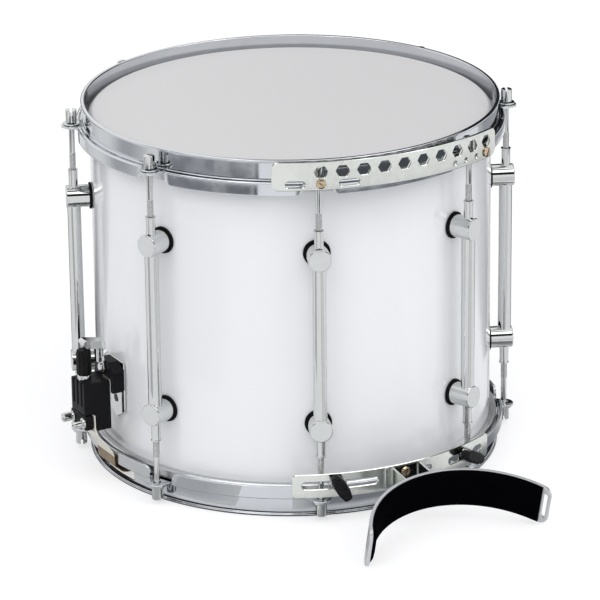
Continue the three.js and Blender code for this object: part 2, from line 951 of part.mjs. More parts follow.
// Butt block: the fixed end of the snares, on the far side of the shell
function buttBody() {
  const low = floor + buttLow;
  const top = floor + buttTop;
  const flange = backFace + buttFoot;
  const foot = roundedShape(-buttHalf, buttHalf, low, top, buttFoot);
  const blockTop = buttMiddle + clampHeight;
  const block = box([-buttHalf, buttHalf], [-buttFace, -backFace], [low + buttFoot, blockTop]);
  const bores = keyHoles(keyHole, buttFace - keyDepth - seat, buttFace + overrun, buttMiddle);
  return cut(join(outwardPrism(foot, backFace, flange, 1), block), ...bores);
}

// Middle of the leg rest's curve before it droops, and its hinge axis
const restCentreY = -(restApex + restRadius);
const pivotY = -(stripRadius + pivotReach);
const pivotZ = slotRow + pivotRise;
const restLow = pivotZ - restDrop;
const restTop = restLow + restHeight;
const armIn = tabInner + tabWall + armGap;
const armOut = armIn + armWall;

// Turned down about the hinge axis until the tips are just off the floor
function drooped(body) {
  const back = new THREE.Matrix4().makeTranslation(0, -pivotY, -pivotZ);
  const turn = new THREE.Matrix4().makeRotationX(rad(restDroopAngle));
  const place = new THREE.Matrix4().makeTranslation(0, pivotY, pivotZ);
  return body.transform(place.multiply(turn).multiply(back).elements);
}

// A slice of the leg rest's curve: hollow side away from the drum
function restBand(inner, outer, halfAngle, low, high) {
  const band = arcBand(inner, outer, 180 - halfAngle, 180 + halfAngle, restSteps, low, high);
  const place = new THREE.Matrix4().makeTranslation(restCentreX, restCentreY, 0);
  return band.transform(place.elements);
}

// Round plate lug in the [y, z] plane that reaches from a root to an eye
function eyeShape(rootY, rootHalf, eyeRadius) {
  const towards = Math.sign(pivotY - rootY);
  const shape = new THREE.Shape();
  shape.moveTo(rootY, pivotZ - rootHalf);
  shape.lineTo(pivotY, pivotZ - eyeRadius);
  shape.absarc(pivotY, pivotZ, eyeRadius, -Math.PI / 2, Math.PI / 2, towards < 0);
  shape.lineTo(rootY, pivotZ + rootHalf);
  return shape;
}

// An outline turned about the hinge axis
function alongBolt(outline) {
  const place = new THREE.Matrix4().makeTranslation(restCentreX, pivotY, pivotZ);
  return lathed(outline, tubeSides).transform(place.multiply(alongX).elements);
}

// A pair of upright plates, one to each side of the middle of the hinge
function hingePair(shape, near, far) {
  return [
    [-far, -near],
    [near, far],
  ].map(([from, to]) => sidePrism(shape, restCentreX + from, restCentreX + to));
}

// Leg rest plate with a belt slot near each end and two tabs for the hinge bolt
function restPlateBody() {
  const blank = restBand(restRadius - restWall, restRadius, restHalfAngle, restLow, restTop);
  const end = restCentreY + restRadius * Math.cos(rad(restHalfAngle));
  const far = -stripRadius;
  const keep = roundedShape(end, far, restLow, restTop, restCorner);
  const reach = restRadius + Math.abs(restCentreX) + overrun;
  const rounded = blank.intersect(sidePrism(keep, -reach, reach, 2));
  const middle = (restLow + restTop) / 2;
  const slotShape = roundedShape(
    end + restSlotInset,
    end + restSlotInset + restSlotWidth,
    middle - restSlotHeight / 2,
    middle + restSlotHeight / 2,
    restSlotWidth / 2,
  );
  const slots = sidePrism(slotShape, -reach, reach, 2);
  const root = -(restApex + restWall);
  const tabs = hingePair(eyeShape(root, tabRootHalf, tabEye), tabInner, tabInner + tabWall);
  const inside = restBand(restRadius / 2, restRadius - restWall, restHalfAngle, restLow, restTop);
  const hole = alongBolt(rod2d(boltHole, -armIn, armIn));
  return drooped(cut(join(cut(rounded, slots), ...tabs), hole, inside));
}

// Pad on the hollow side of the leg rest, thicker along its middle
function restPadBody() {
  const outer = restRadius - restWall - seat;
  const inner = outer - padThickness;
  const inset = restHeight / 6;
  const ring = lathed(
    [
      [outer, restLow],
      [outer, restTop],
      [inner + padCrown, restTop],
      [inner, restTop - inset],
      [inner, restLow + inset],
      [inner + padCrown, restLow],
    ],
    ringSides,
  );
  const place = new THREE.Matrix4().makeTranslation(restCentreX, restCentreY, 0);
  const moved = ring.transform(place.elements);
  const wedge = restBand(inner / 2, outer + overrun, padHalfAngle, restLow - overrun, restTop + overrun);
  return drooped(moved.intersect(wedge));
}

// Bracket strip with its slots and the two arms that hold the hinge bolt
function restBracketBody() {
  const low = slotRow - stripDrop;
  const high = low + stripHeight;
  const inner = stripRadius - stripWall;
  const band = arcBand(inner, stripRadius, stripStartAngle, stripEndAngle, stripSteps, low, high);
  const slots = [
    [longSlotStartAngle, longSlotEndAngle, stripSlotHalf],
    [middleSlotStartAngle, middleSlotEndAngle, middleSlotHalf],
    [windowStartAngle, windowEndAngle, stripSlotHalf],
    [shortSlotStartAngle, shortSlotEndAngle, stripSlotHalf],
  ].map(([start, end, half]) =>
    slotTool(inner - overrun, stripRadius + overrun, start, end, half),
  );
  const corners = bandCorners(stripRadius, stripStartAngle, stripEndAngle, low, high, stripCorner);
  const root = -(inner + stripWall / 2);
  const arms = hingePair(eyeShape(root, armRootHalf, armEye), armIn, armOut);
  const inside = arcBand(
    inner / 2,
    inner,
    stripStartAngle,
    stripEndAngle,
    stripSteps,
    low - overrun,
    high + overrun,
  );
  const hole = alongBolt(rod2d(boltHole, -armOut - overrun, armOut + overrun));
  return cut(join(cut(band, ...slots, ...corners), ...arms), hole, inside);
}

// A curved slot cutter with square ends
function slotTool(inner, outer, start, end, half) {
  const steps = Math.max(2, Math.round((end - start) / slotStepAngle));
  return arcBand(inner, outer, start, end, steps, slotRow - half, slotRow + half);
}
const slotStepAngle = 5;

// Hinge bolt with a head at each end
function pivotBoltBody() {
  const outline = [
    [0, -armOut - seat - boltHeadWall],
    [boltHeadRadius, -armOut - seat - boltHeadWall],
    [boltHeadRadius, -armOut - seat],
    [boltRadius, -armOut - seat],
    [boltRadius, armOut + seat],
    [boltHeadRadius, armOut + seat],
    [boltHeadRadius, armOut + seat + boltHeadWall],
    [0, armOut + seat + boltHeadWall],
  ];
  return alongBolt(outline);
}

// Clamp hooked over the edge of the snare hoop's skirt, behind the strip
function hookBody() {
  const outer = stripRadius - stripWall - 2 * seat;
  const throatOut = skirtRadius + 2 * seat;
  const throatIn = skirtRadius - hoopWall - 2 * seat;
  const lipIn = throatIn - hookWall;
  const shape = shapeOf([
    [-outer, skirtTop - hookLap],
    [-throatOut, skirtTop - hookLap],
    [-throatOut, skirtTop + 2 * seat],
    [-throatIn, skirtTop + 2 * seat],
    [-throatIn, skirtTop - hookLipDrop],
    [-lipIn, skirtTop - hookLipDrop],
    [-lipIn, skirtTop + hookWall],
    [-throatOut - hookWall, skirtTop + 2 * hookWall],
    [-throatOut - hookWall, slotRow + hookRise],
    [-outer, slotRow + hookRise],
  ]);
  const body = sidePrism(shape, -hookHalf, hookHalf);
  const bore = radial(rod2d(wingHole, throatOut + hookWall / 2, outer + overrun), rodSides);
  const place = new THREE.Matrix4().makeTranslation(0, 0, slotRow);
  return cut(body, bore.transform(place.elements));
}

// Wing screw: a long black grip on a chrome shank, turned by its own angle
function wingScrewBody(turn) {
  const end = stripRadius - stripWall - wingReach + hookWall;
  const boss = stripRadius + 2 * seat;
  const gripLow = boss + wingBossHeight;
  const outline = [
    [0, end],
    [wingShank, end],
    [wingShank, boss],
    [wingBoss, boss],
    [wingBoss, gripLow + overrun],
    [0, gripLow + overrun],
  ];
  const shape = roundedShape(
    -wingHalfLength,
    wingHalfLength,
    -wingHalfWidth,
    wingHalfWidth,
    wingHalfWidth * 0.8,
  );
  const grip = outwardPrism(shape, gripLow, gripLow + wingThickness);
  const spin = new THREE.Matrix4().makeRotationY(rad(turn));
  const place = new THREE.Matrix4().makeTranslation(0, 0, slotRow);
  return join(radial(outline, tubeSides), grip).transform(place.multiply(spin).elements);
}

// Materials
const finish = (color, roughness, metalness) =>
  new THREE.MeshStandardMaterial({ color, roughness, metalness });
const chrome = () => finish(0xd8dadc, 0.12, 1);
const white = () => finish(0xf1f2f5, 0.15, 0);
const filmWhite = () => finish(0xe9e7e1, 0.45, 0);
const aluminium = () => finish(0xc4c6c8, 0.4, 1);
const black = () => finish(0x15161a, 0.5, 0);
const foam = () => finish(0x050506, 0.95, 0);
const brassy = () => finish(0xc9b489, 0.3, 1);
const clear = () => finish(0xe6e2d2, 0.3, 0);
const gut = () => finish(0xb69a72, 0.6, 0);
const rubber = () => finish(0x101010, 0.8, 0);

// The drum as a scene graph, drawn about the middle of the shell
const drum = new THREE.Group();
drum.position.z = -headTop;

function add(name, body, material, parent = drum) {
  const mesh = new THREE.Mesh(geometryOf(body), material);
  mesh.name = name;
  parent.add(mesh);
  return mesh;
}

function arm(degrees, parent = drum) {
  const group = new THREE.Group();
  group.rotation.z = rad(degrees);
  parent.add(group);
  return group;
}

const lower = new THREE.Group();
lower.rotation.x = Math.PI;
drum.add(lower);

add("shell", shellBody(), white());
add("vent_grommet", grommetBody(), chrome());
add("batter_head", headBody(), filmWhite());
add("snare_head", headBody(), filmWhite(), lower);
add("batter_flesh_hoop", fleshHoopBody(), aluminium());
add("snare_flesh_hoop", fleshHoopBody(), aluminium(), lower);
add("batter_hoop", hoopBody(false), chrome());
add("snare_hoop", hoopBody(true), chrome(), lower);

const lug = lugBody();
const plainRod = rodBody(0);
const liftedRod = rodBody(bracketWall + seat);
lugAngles.forEach((angle, i) => {
  const lifted = carrierAngles.includes(angle);
  const spoke = arm(angle);
  add(`lug_${i + 1}`, lug, chrome(), spoke);
  const batterRod = add(`batter_rod_${i + 1}`, lifted ? liftedRod : plainRod, chrome(), spoke);
  batterRod.position.y = -rodCircle;
  const snareRod = add(`snare_rod_${i + 1}`, plainRod, chrome(), spoke);
  snareRod.position.y = -rodCircle;
  snareRod.rotation.x = Math.PI;
});

add("carrier_plate", carrierPlateBody(), chrome());
["left", "right"].forEach((side, i) => {
  const spoke = arm(carrierAngles[i]);
  add(`carrier_bracket_${side}`, carrierBracketBody(), chrome(), spoke);
  add(`carrier_screw_${side}`, carrierScrewBody(), brassy(), spoke);
});

const strainer = arm(-90);
add("strainer_backplate", backplateBody(), chrome(), strainer);
add("strainer_base", strainerBaseBody(), black(), strainer);
add("throw_off_lever", leverBody(), chrome(), strainer);
add("strainer_slider", sliderBody(), black(), strainer);
add("tension_knob", knobBody(), black(), strainer);
add("strainer_clamp", clampBody(strainerSeat, clampMiddle, clampBlockWall), black(), strainer);
add("strainer_strap", outwardStrap(strainerSeat, clampMiddle), clear(), strainer);

const butt = arm(90);
add("butt_plate", buttBody(), chrome(), butt);
add("butt_clamp", clampBody(buttFace, buttMiddle, clampPlateWall), chrome(), butt);
add("butt_strap", outwardStrap(buttFace, buttMiddle), clear(), butt);
for (const [name, place] of [
  ["left", -keyPlaceHalf],
  ["right", keyPlaceHalf],
]) {
  const strainerScrew = keyScrewBody(strainerSeat, clampMiddle, clampBlockWall, place);
  const buttScrew = keyScrewBody(buttFace, buttMiddle, clampPlateWall, place);
  add(`strainer_screw_${name}`, strainerScrew, chrome(), strainer);
  add(`butt_screw_${name}`, buttScrew, chrome(), butt);
}
add("snare_wires", snareBody(), gut());

add("leg_rest_plate", restPlateBody(), aluminium());
add("leg_rest_pad", restPadBody(), foam());
add("leg_rest_bracket", restBracketBody(), chrome());
add("leg_rest_bolt", pivotBoltBody(), chrome());
[
  ["left", -clampAngle, leftWingAngle],
  ["right", clampAngle, rightWingAngle],
].forEach(([side, angle, turn]) => {
  const spoke = arm(angle);
  add(`bracket_hook_${side}`, hookBody(), chrome(), spoke);
  add(`wing_screw_${side}`, wingScrewBody(turn), rubber(), spoke);
});

const part = new THREE.Group();
part.add(drum);
export default part;
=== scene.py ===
from math import asin, atan2, cos, pi, radians, sin, sqrt, tan

import bmesh
import bpy
from mathutils import Matrix, Vector
from mathutils.geometry import delaunay_2d_cdt


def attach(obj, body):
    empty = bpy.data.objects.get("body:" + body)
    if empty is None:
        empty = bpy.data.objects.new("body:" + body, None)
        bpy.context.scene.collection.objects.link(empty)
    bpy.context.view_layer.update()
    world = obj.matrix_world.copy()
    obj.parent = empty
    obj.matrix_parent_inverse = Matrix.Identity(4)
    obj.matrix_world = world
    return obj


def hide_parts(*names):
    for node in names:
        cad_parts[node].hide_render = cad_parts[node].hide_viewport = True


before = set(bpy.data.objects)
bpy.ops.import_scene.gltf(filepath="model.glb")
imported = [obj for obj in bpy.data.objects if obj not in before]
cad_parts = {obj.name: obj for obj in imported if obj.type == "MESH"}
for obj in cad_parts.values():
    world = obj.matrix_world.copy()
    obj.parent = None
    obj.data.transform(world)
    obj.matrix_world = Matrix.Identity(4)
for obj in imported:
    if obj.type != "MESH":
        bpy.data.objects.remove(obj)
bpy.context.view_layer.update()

# Lengths are millimetres, heights are above the floor, angles run from the front towards +X
MM = 0.001
HEAD_TOP = 316.0
RIM = 325.6
MIDDLE = RIM / 2
SECTOR = 45
LUGS = [(i - 2.5) * SECTOR for i in range(8)]
STRAINER = -90
BUTT = 90
VENT = 180
FACETS = 288

# Shell, hoops, rods and lugs
SHELL_R = 178
SHELL_WALL = 6
SHELL_LOW = 10.4
SHELL_HIGH = 315.2
ON_SHELL = 178.3
VENT_R = 6
HOOP_R = 181.5
HOOP_WALL = 2.3
LIP_R = 185.3
SHELF_TOP = 307.5
SHELF_UNDER = 305.2
SKIRT_R = 190
SKIRT_LOW = 295.4
EAR_GAP = 12.4
GATE_HALF = 33
ROD_CIRCLE = 193.9
ROD_HOLE = 3.3
ROD_R = 2.6
THREAD_R = 2.85
THREAD_ROOT = 2.5
THREAD_PITCH = 1.1
EAR_R = 9
EAR_HALF = 12.6
TUBE_R = 6
POST_R = 10
POST_FRONT = 200.9
POST_HEIGHTS = (85, 240.6)

# Carrier plate and the leg rest's strip
PLATE_R = 212
PLATE_WALL = 2.3
PLATE_LOW = 307.6
PLATE_HIGH = 332.6
PLATE_SCREWS = 22.5
PLATE_SCREW_ROW = PLATE_LOW + 5.9
HEX_PITCH = 5
STRIP_R = 204
STRIP_WALL = 2.3
SLOT_ROW = 36.5

# Strainer, straps, butt end and snares
BASE_FACE = 191.2
SLIDER_BACK = 191.5
STRAINER_FACE = 217.5
STRAINER_SEAT = 208.5
SLIDER_HALF = 13
PIN_HEIGHT = 106
KNOB_PLACE = 210.6
STRAP_HALF = 16
STRAP_WALL = 0.8
# Below this height the strap is painted darker: painted shade inside the gate
STRAP_SHADE_BELOW = 26.5
BUTT_FACE = 198.3
CLAMP_MIDDLE = 61.25
BUTT_MIDDLE = 56.75
KEY_PLACE = 10.2
SNARE_HALF = 147
SNARE_LEVEL = 8.3
SNARE_PITCH = 3.4

# Leg rest
REST_X = -3.5
REST_Y = -331.8
REST_R = 98
REST_WALL = 3
REST_LOW = 16.2
REST_HIGH = 53.2
REST_DROOP = 13.6
PIVOT_Y = -226
PIVOT_Z = 37.5

OUTWARD = Matrix.Rotation(radians(90), 4, "X")
ALONG = Matrix.Rotation(radians(90), 4, "Y")
SIDEWAYS = Matrix(((0, 0, 1, 0), (1, 0, 0, 0), (0, 1, 0, 0), (0, 0, 0, 1)))
MIRROR = Matrix.Translation((0, 0, RIM)) @ Matrix.Diagonal((1, 1, -1, 1))


# Placing
def turn(angle):
    return Matrix.Rotation(radians(angle), 4, "Z")


def at(x, y, z):
    return Matrix.Translation((x, y, z))


def moved(shape, *steps):
    matrix = Matrix.Identity(4)
    for step in steps:
        matrix = matrix @ step
    return [matrix @ Vector(v) for v in shape[0]], shape[1]


# Outlines
def rounded(corners, steps=5):
    """A closed outline of (x, y, fillet) with its corners rounded."""
    out = []
    count = len(corners)
    for i, (x, y, fillet) in enumerate(corners):
        here = Vector((x, y))
        if not fillet:
            out.append((x, y))
            continue
        back = (Vector(corners[i - 1][:2]) - here).normalized()
        on = (Vector(corners[(i + 1) % count][:2]) - here).normalized()
        half = back.angle(on) / 2
        centre = here + (back + on).normalized() * (fillet / sin(half))
        first = here + back * (fillet / tan(half)) - centre
        last = here + on * (fillet / tan(half)) - centre
        start = atan2(first.y, first.x)
        sweep = (atan2(last.y, last.x) - start + pi) % (2 * pi) - pi
        for k in range(steps + 1):
            angle = start + sweep * k / steps
            out.append((centre.x + fillet * cos(angle), centre.y + fillet * sin(angle)))
    return out


def slab(x0, x1, y0, y1, corner, steps=6):
    return rounded([(x0, y0, corner), (x1, y0, corner), (x1, y1, corner), (x0, y1, corner)], steps)


def ring(x, y, radius, count=24):
    angles = [2 * pi * k / count for k in range(count)]
    return [(x + radius * cos(a), y + radius * sin(a)) for a in angles]


def disc(radius, low, high, under=0, over=0, steps=5):
    """A cylinder's outline for lathe(), with fillets at its two edges."""
    return rounded([(0, low, 0), (radius, low, under), (radius, high, over), (0, high, 0)], steps)


def facing(loop, sign):
    area = sum(a[0] * b[1] - b[0] * a[1] for a, b in zip(loop, loop[1:] + loop[:1]))
    return loop if area * sign > 0 else loop[::-1]


def inset(loop, by):
    """The loop moved to its left by a distance."""
    out = []
    for i, here in enumerate(loop):
        before = Vector(here) - Vector(loop[i - 1])
        after = Vector(loop[(i + 1) % len(loop)]) - Vector(here)
        a = Vector((-before.y, before.x)).normalized()
        b = Vector((-after.y, after.x)).normalized()
        shift = (a + b) / max(1 + a.dot(b), 0.4)
        out.append((here[0] + shift.x * by, here[1] + shift.y * by))
    return out


def holds(loop, spot):
    """Whether a point lies inside a loop."""
    x, y = spot
    inside = False
    for (x0, y0), (x1, y1) in zip(loop, loop[1:] + loop[:1]):
        if (y0 > y) != (y1 > y) and x < x0 + (y - y0) * (x1 - x0) / (y1 - y0):
            inside = not inside
    return inside


# Shapes: a list of points and a list of faces
def lathe(profile, count=48):
    """A closed outline of (radius, height) turned about the upright axis."""
    points, faces, rings = [], [], []
    for radius, height in profile:
        base = len(points)
        if radius < 0.001:
            points.append((0, 0, height))
            rings.append([base] * count)
            continue
        angles = [2 * pi * k / count for k in range(count)]
        points += [(radius * sin(a), -radius * cos(a), height) for a in angles]
        rings.append(list(range(base, base + count)))
    for low, high in zip(rings, rings[1:] + rings[:1]):
        for k in range(count):
            n = (k + 1) % count
            corners = list(dict.fromkeys((low[k], low[n], high[n], high[k])))
            if len(corners) > 2:
                faces.append(corners)
    return points, faces


def plate(loops, low, high, edge=0.4, steps=1):
    """A flat plate between two heights: an outer loop, then holes, with its edges broken."""
    loops = [facing(list(loop), 1 if i == 0 else -1) for i, loop in enumerate(loops)]
    turns = [pi / 2 * k / steps for k in range(steps + 1)]
    levels = [(edge * (1 - sin(a)), low + edge * (1 - cos(a))) for a in turns]
    levels += [(depth, low + high - height) for depth, height in reversed(levels)]
    points, faces, first, last = [], [], [], []
    for loop in loops:
        rows = []
        for depth, height in levels:
            base = len(points)
            points += [(x, y, height) for x, y in inset(loop, depth)]
            rows.append(range(base, base + len(loop)))
        for a, b in zip(rows, rows[1:]):
            faces += [(a[k], a[(k + 1) % len(a)], b[(k + 1) % len(a)], b[k]) for k in range(len(a))]
        first.append(list(rows[0]))
        last.append(list(rows[-1]))
    for rows, flip in ((first, True), (last, False)):
        flat = [i for row in rows for i in row]
        number = {i: n for n, i in enumerate(flat)}
        spots = [Vector(points[i][:2]) for i in flat]
        borders = [[number[i] for i in row] for row in rows]
        made = delaunay_2d_cdt(spots, [], borders, 1, 1e-5, True)
        if not all(made[3]):
            return plate(loops, low, high, edge / 2, steps)
        back = [flat[source[0]] for source in made[3]]
        rims = [[points[i][:2] for i in row] for row in rows]
        for face in made[2]:
            corners = [back[i] for i in face]
            middle = [sum(points[i][axis] for i in corners) / 3 for axis in (0, 1)]
            if sum(holds(rim, middle) for rim in rims) % 2:
                faces.append(corners[::-1] if flip else corners)
    return points, faces


def slot_cut(width, low, high):
    """A cutter for a screwdriver slot across a head."""
    half = width / 2
    return plate([[(-6, -half), (6, -half), (6, half), (-6, half)]], low, high, 0)


def bent(shape, inner, outer, step=1.5):
    """A plate of (arc, height, depth) wrapped round the drum."""
    mesh = bpy.data.meshes.new("bend")
    mesh.from_pydata([tuple(v) for v in shape[0]], [], shape[1])
    work = bmesh.new()
    work.from_mesh(mesh)
    reach = [v.co.x for v in work.verts]
    pace = radians(step) * outer
    for k in range(int(min(reach) // pace), int(max(reach) // pace) + 1):
        parts = work.verts[:] + work.edges[:] + work.faces[:]
        bmesh.ops.bisect_plane(work, geom=parts, dist=0.001, plane_co=(k * pace, 0, 0), plane_no=(1, 0, 0))
    work.verts.index_update()
    points = []
    for v in work.verts:
        angle = v.co.x / outer
        radius = inner + v.co.z
        points.append((radius * sin(angle), -radius * cos(angle), v.co.y))
    faces = [[v.index for v in face.verts] for face in work.faces]
    work.free()
    return points, faces


def carried(angles, outline_at):
    """An outline of (radius, height) carried round the drum, with its ends shut."""
    points, faces, rows = [], [], []
    for angle in angles:
        base = len(points)
        a = radians(angle)
        outline = outline_at(angle)
        points += [(radius * sin(a), -radius * cos(a), height) for radius, height in outline]
        rows.append(list(range(base, base + len(outline))))
    for a, b in zip(rows, rows[1:]):
        faces += [(a[k], b[k], b[(k + 1) % len(a)], a[(k + 1) % len(a)]) for k in range(len(a))]
    return points, faces + [rows[0], rows[-1][::-1]]


def joined(*shapes):
    points, faces = [], []
    for shape in shapes:
        base = len(points)
        points += list(shape[0])
        faces += [[base + i for i in face] for face in shape[1]]
    return points, faces


def added(name, data):
    made = bpy.data.objects.new(name, data)
    bpy.context.scene.collection.objects.link(made)
    return made


def baked(made):
    """An object's mesh with its modifiers applied."""
    bpy.context.view_layer.update()
    return bpy.data.meshes.new_from_object(made.evaluated_get(bpy.context.evaluated_depsgraph_get()))


def face_outward(mesh):
    work = bmesh.new()
    work.from_mesh(mesh)
    bmesh.ops.recalc_face_normals(work, faces=work.faces)
    work.to_mesh(mesh)
    work.free()


def stand_in(shape):
    mesh = bpy.data.meshes.new("work")
    mesh.from_pydata([tuple(v) for v in shape[0]], [], [list(f) for f in shape[1]])
    face_outward(mesh)
    return added("work", mesh)


def carved(shape, *cutters):
    """A shape less other shapes."""
    body = stand_in(shape)
    tool = stand_in(joined(*cutters))
    step = body.modifiers.new("carve", "BOOLEAN")
    step.operation = "DIFFERENCE"
    step.solver = "EXACT"
    step.object = tool
    mesh = baked(body)
    out = [v.co.copy() for v in mesh.vertices], [list(p.vertices) for p in mesh.polygons]
    bpy.data.objects.remove(body)
    bpy.data.objects.remove(tool)
    return out


# What is built facing the front and then turned to its side
def outward(loops, inner, outer, edge=0.4, steps=1):
    return moved(plate(loops, inner, outer, edge, steps), OUTWARD)


def across(loops, low, high, edge=0.4, steps=1):
    return moved(plate(loops, low, high, edge, steps), SIDEWAYS)


def radial(profile, count=32, sideways=0, height=0):
    return moved(lathe(profile, count), at(sideways, 0, height), OUTWARD)


def upright(profile, radius, count=32):
    return moved(lathe(profile, count), at(0, -radius, 0))


# Pieces
def piece(name, parts, body, crease=28):
    """One object from (shape, finish) pairs, riding on a body in place of the node of that name."""
    points, faces, finishes, kinds = [], [], [], []
    for shape, material in parts:
        if material not in kinds:
            kinds.append(material)
        base = len(points)
        points += [(v[0] * MM, v[1] * MM, (v[2] - HEAD_TOP) * MM) for v in shape[0]]
        faces += [[base + i for i in face] for face in shape[1]]
        finishes += [kinds.index(material)] * len(shape[1])
    mesh = bpy.data.meshes.new(f"{name}_fine")
    mesh.from_pydata(points, [], faces)
    for material in kinds:
        mesh.materials.append(material)
    mesh.polygons.foreach_set("material_index", finishes)
    face_outward(mesh)
    mesh.shade_smooth()
    mesh.set_sharp_from_angle(angle=radians(crease))
    made = added(f"{name}_fine", mesh)
    # Weighted normals let flat chrome reflect as a flat, not as part of its rounded edge
    even = made.modifiers.new("even", "WEIGHTED_NORMAL")
    even.keep_sharp = True
    made.data = baked(made)
    made.modifiers.remove(even)
    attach(made, body)
    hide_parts(name)
    return made


def put(name, parts, body, angle=STRAINER, crease=28):
    """A piece built facing the front and then turned to its side."""
    turned = [(moved(shape, turn(angle)), material) for shape, material in parts]
    piece(name, turned, body, crease)


# Materials
def link(tree, out, into):
    tree.links.new(out, into)


def preset(made, **values):
    for key, value in values.items():
        made.inputs[key.replace("_", " ")].default_value = value
    return made


def node(tree, kind, **values):
    """A new shader node with these values on its inputs."""
    return preset(tree.nodes.new(kind), **values)


def by_ray(tree, rays, plain, special):
    """One shader for the named kinds of ray and a plain one for the others."""
    path = node(tree, "ShaderNodeLightPath")
    chosen = path.outputs[f"Is {rays[0]} Ray"]
    for ray in rays[1:]:
        either = node(tree, "ShaderNodeMath")
        either.operation = "MAXIMUM"
        link(tree, chosen, either.inputs[0])
        link(tree, path.outputs[f"Is {ray} Ray"], either.inputs[1])
        chosen = either.outputs[0]
    mix = node(tree, "ShaderNodeMixShader")
    link(tree, chosen, mix.inputs[0])
    link(tree, plain.outputs[0], mix.inputs[1])
    link(tree, special.outputs[0], mix.inputs[2])
    return mix.outputs[0]


def surface(name, colour, other, metallic, rough, scale, bump=0.0, size=0.0002, stretch=(1, 1, 1), **more):
    """A finish whose colour, gloss and height vary with noise at one scale."""
    material = bpy.data.materials.new(name)
    material.use_nodes = True
    tree = material.node_tree
    shade = preset(tree.nodes["Principled BSDF"], Metallic=metallic, **more)
    place = node(tree, "ShaderNodeTexCoord")
    scaled = node(tree, "ShaderNodeMapping", Scale=stretch)
    link(tree, place.outputs["Object"], scaled.inputs["Vector"])
    noise = node(tree, "ShaderNodeTexNoise", Scale=scale, Detail=6)
    link(tree, scaled.outputs["Vector"], noise.inputs["Vector"])
    mix = node(tree, "ShaderNodeMix")
    mix.data_type = "RGBA"
    mix.inputs[6].default_value = (*colour, 1)
    mix.inputs[7].default_value = (*other, 1)
    link(tree, noise.outputs["Fac"], mix.inputs[0])
    link(tree, mix.outputs[2], shade.inputs["Base Color"])
    spread = node(tree, "ShaderNodeMapRange", From_Min=0.3, From_Max=0.7, To_Min=rough[0], To_Max=rough[1])
    link(tree, noise.outputs["Fac"], spread.inputs["Value"])
    link(tree, spread.outputs["Result"], shade.inputs["Roughness"])
    if bump:
        relief = node(tree, "ShaderNodeBump", Strength=bump, Distance=size)
        link(tree, noise.outputs["Fac"], relief.inputs["Height"])
        link(tree, relief.outputs["Normal"], shade.inputs["Normal"])
    return material


def banded(name, colour, other, bands, rough, direction="Z", twist=3.0):
    """A finish with bands across one axis, for plies and twisted strands."""
    material = surface(name, colour, other, 0, rough, 90)
    tree = material.node_tree
    wave = node(tree, "ShaderNodeTexWave", Scale=bands, Distortion=twist, Detail=3)
    wave.bands_direction = direction
    source = next(n for n in tree.nodes if n.type == "TEX_COORD")
    link(tree, source.outputs["Object"], wave.inputs["Vector"])
    mix = next(n for n in tree.nodes if n.type == "MIX")
    link(tree, wave.outputs["Fac"], mix.inputs[0])
    return material


# Each finish: two colours, metallic, the range of roughness, the noise's scale and the bump
wrap = surface(
    "white_wrap", (0.80, 0.806, 0.825), (0.78, 0.786, 0.808), 0, (0.10, 0.16), 14, 0.02, 0.0004,
    Coat_Weight=0.6, Coat_Roughness=0.04,
)
wood = banded("maple_ply", (0.60, 0.42, 0.24), (0.47, 0.31, 0.16), 26, (0.4, 0.6))
film = surface(
    "coated_film", (0.60, 0.592, 0.597), (0.57, 0.562, 0.567), 0, (0.42, 0.55), 1400, 0.10, 0.00004,
)
clear_film = surface(
    "snare_film", (0.63, 0.62, 0.57), (0.58, 0.57, 0.52), 0, (0.22, 0.32), 300, 0.03, 0.00004,
)
chrome = surface("chrome", (0.70, 0.71, 0.70), (0.64, 0.655, 0.65), 1, (0.03, 0.07), 160, 0.02, 0.00005)
steel = surface("hoop_chrome", (0.71, 0.73, 0.76), (0.64, 0.66, 0.69), 1, (0.05, 0.10), 90, 0.03, 0.00006)
nickel = surface(
    "satin_plate", (0.79, 0.81, 0.765), (0.73, 0.75, 0.705), 1, (0.10, 0.18), 220, 0.03, 0.00004,
)
thread_metal = surface("thread_metal", (0.66, 0.66, 0.66), (0.56, 0.56, 0.56), 1, (0.22, 0.36), 500)
# Painted shade: a near-black sheet set behind the bracket strip's middle slot
painted_shade_sheet = surface(
    "painted_shade_sheet", (0.02, 0.02, 0.022), (0.05, 0.05, 0.055), 1, (0.2, 0.4), 300, 0.05, 0.00005,
)
brass = surface("screw_brass", (0.66, 0.55, 0.40), (0.55, 0.43, 0.29), 1, (0.14, 0.26), 400, 0.04, 0.00005)
aluminium = surface(
    "satin_aluminium", (0.68, 0.69, 0.70), (0.58, 0.59, 0.60), 1, (0.28, 0.42), 260, 0.06, 0.00005,
    stretch=(1, 1, 6),
)
cast_black = surface(
    "black_casting", (0.004, 0.004, 0.0055), (0.008, 0.008, 0.010), 0, (0.30, 0.46), 500, 0.12, 0.00008,
    Specular_IOR_Level=0.12,
)
knob_black = surface(
    "knob_black", (0.003, 0.003, 0.0035), (0.006, 0.006, 0.007), 0, (0.28, 0.42), 600, 0.1, 0.00006,
    Specular_IOR_Level=0.12,
)
wing_black = surface(
    "wing_black", (0.003, 0.003, 0.004), (0.006, 0.006, 0.007), 0, (0.2, 0.34), 500, 0.1, 0.00006,
    Specular_IOR_Level=0.2,
)
rubber = surface(
    "black_rubber", (0.003, 0.003, 0.0035), (0.006, 0.006, 0.007), 0, (0.55, 0.7), 700, 0.1, 0.00004,
    Specular_IOR_Level=0.08,
)
foam = surface(
    "black_foam", (0.0006, 0.0006, 0.0011), (0.0016, 0.0016, 0.0024), 0, (0.9, 1.0), 1500, 0.5, 0.0002,
    Specular_IOR_Level=0.01,
)
ivory = surface("strap_ivory", (0.80, 0.78, 0.71), (0.74, 0.71, 0.62), 0, (0.3, 0.42), 180, 0.04, 0.00005)
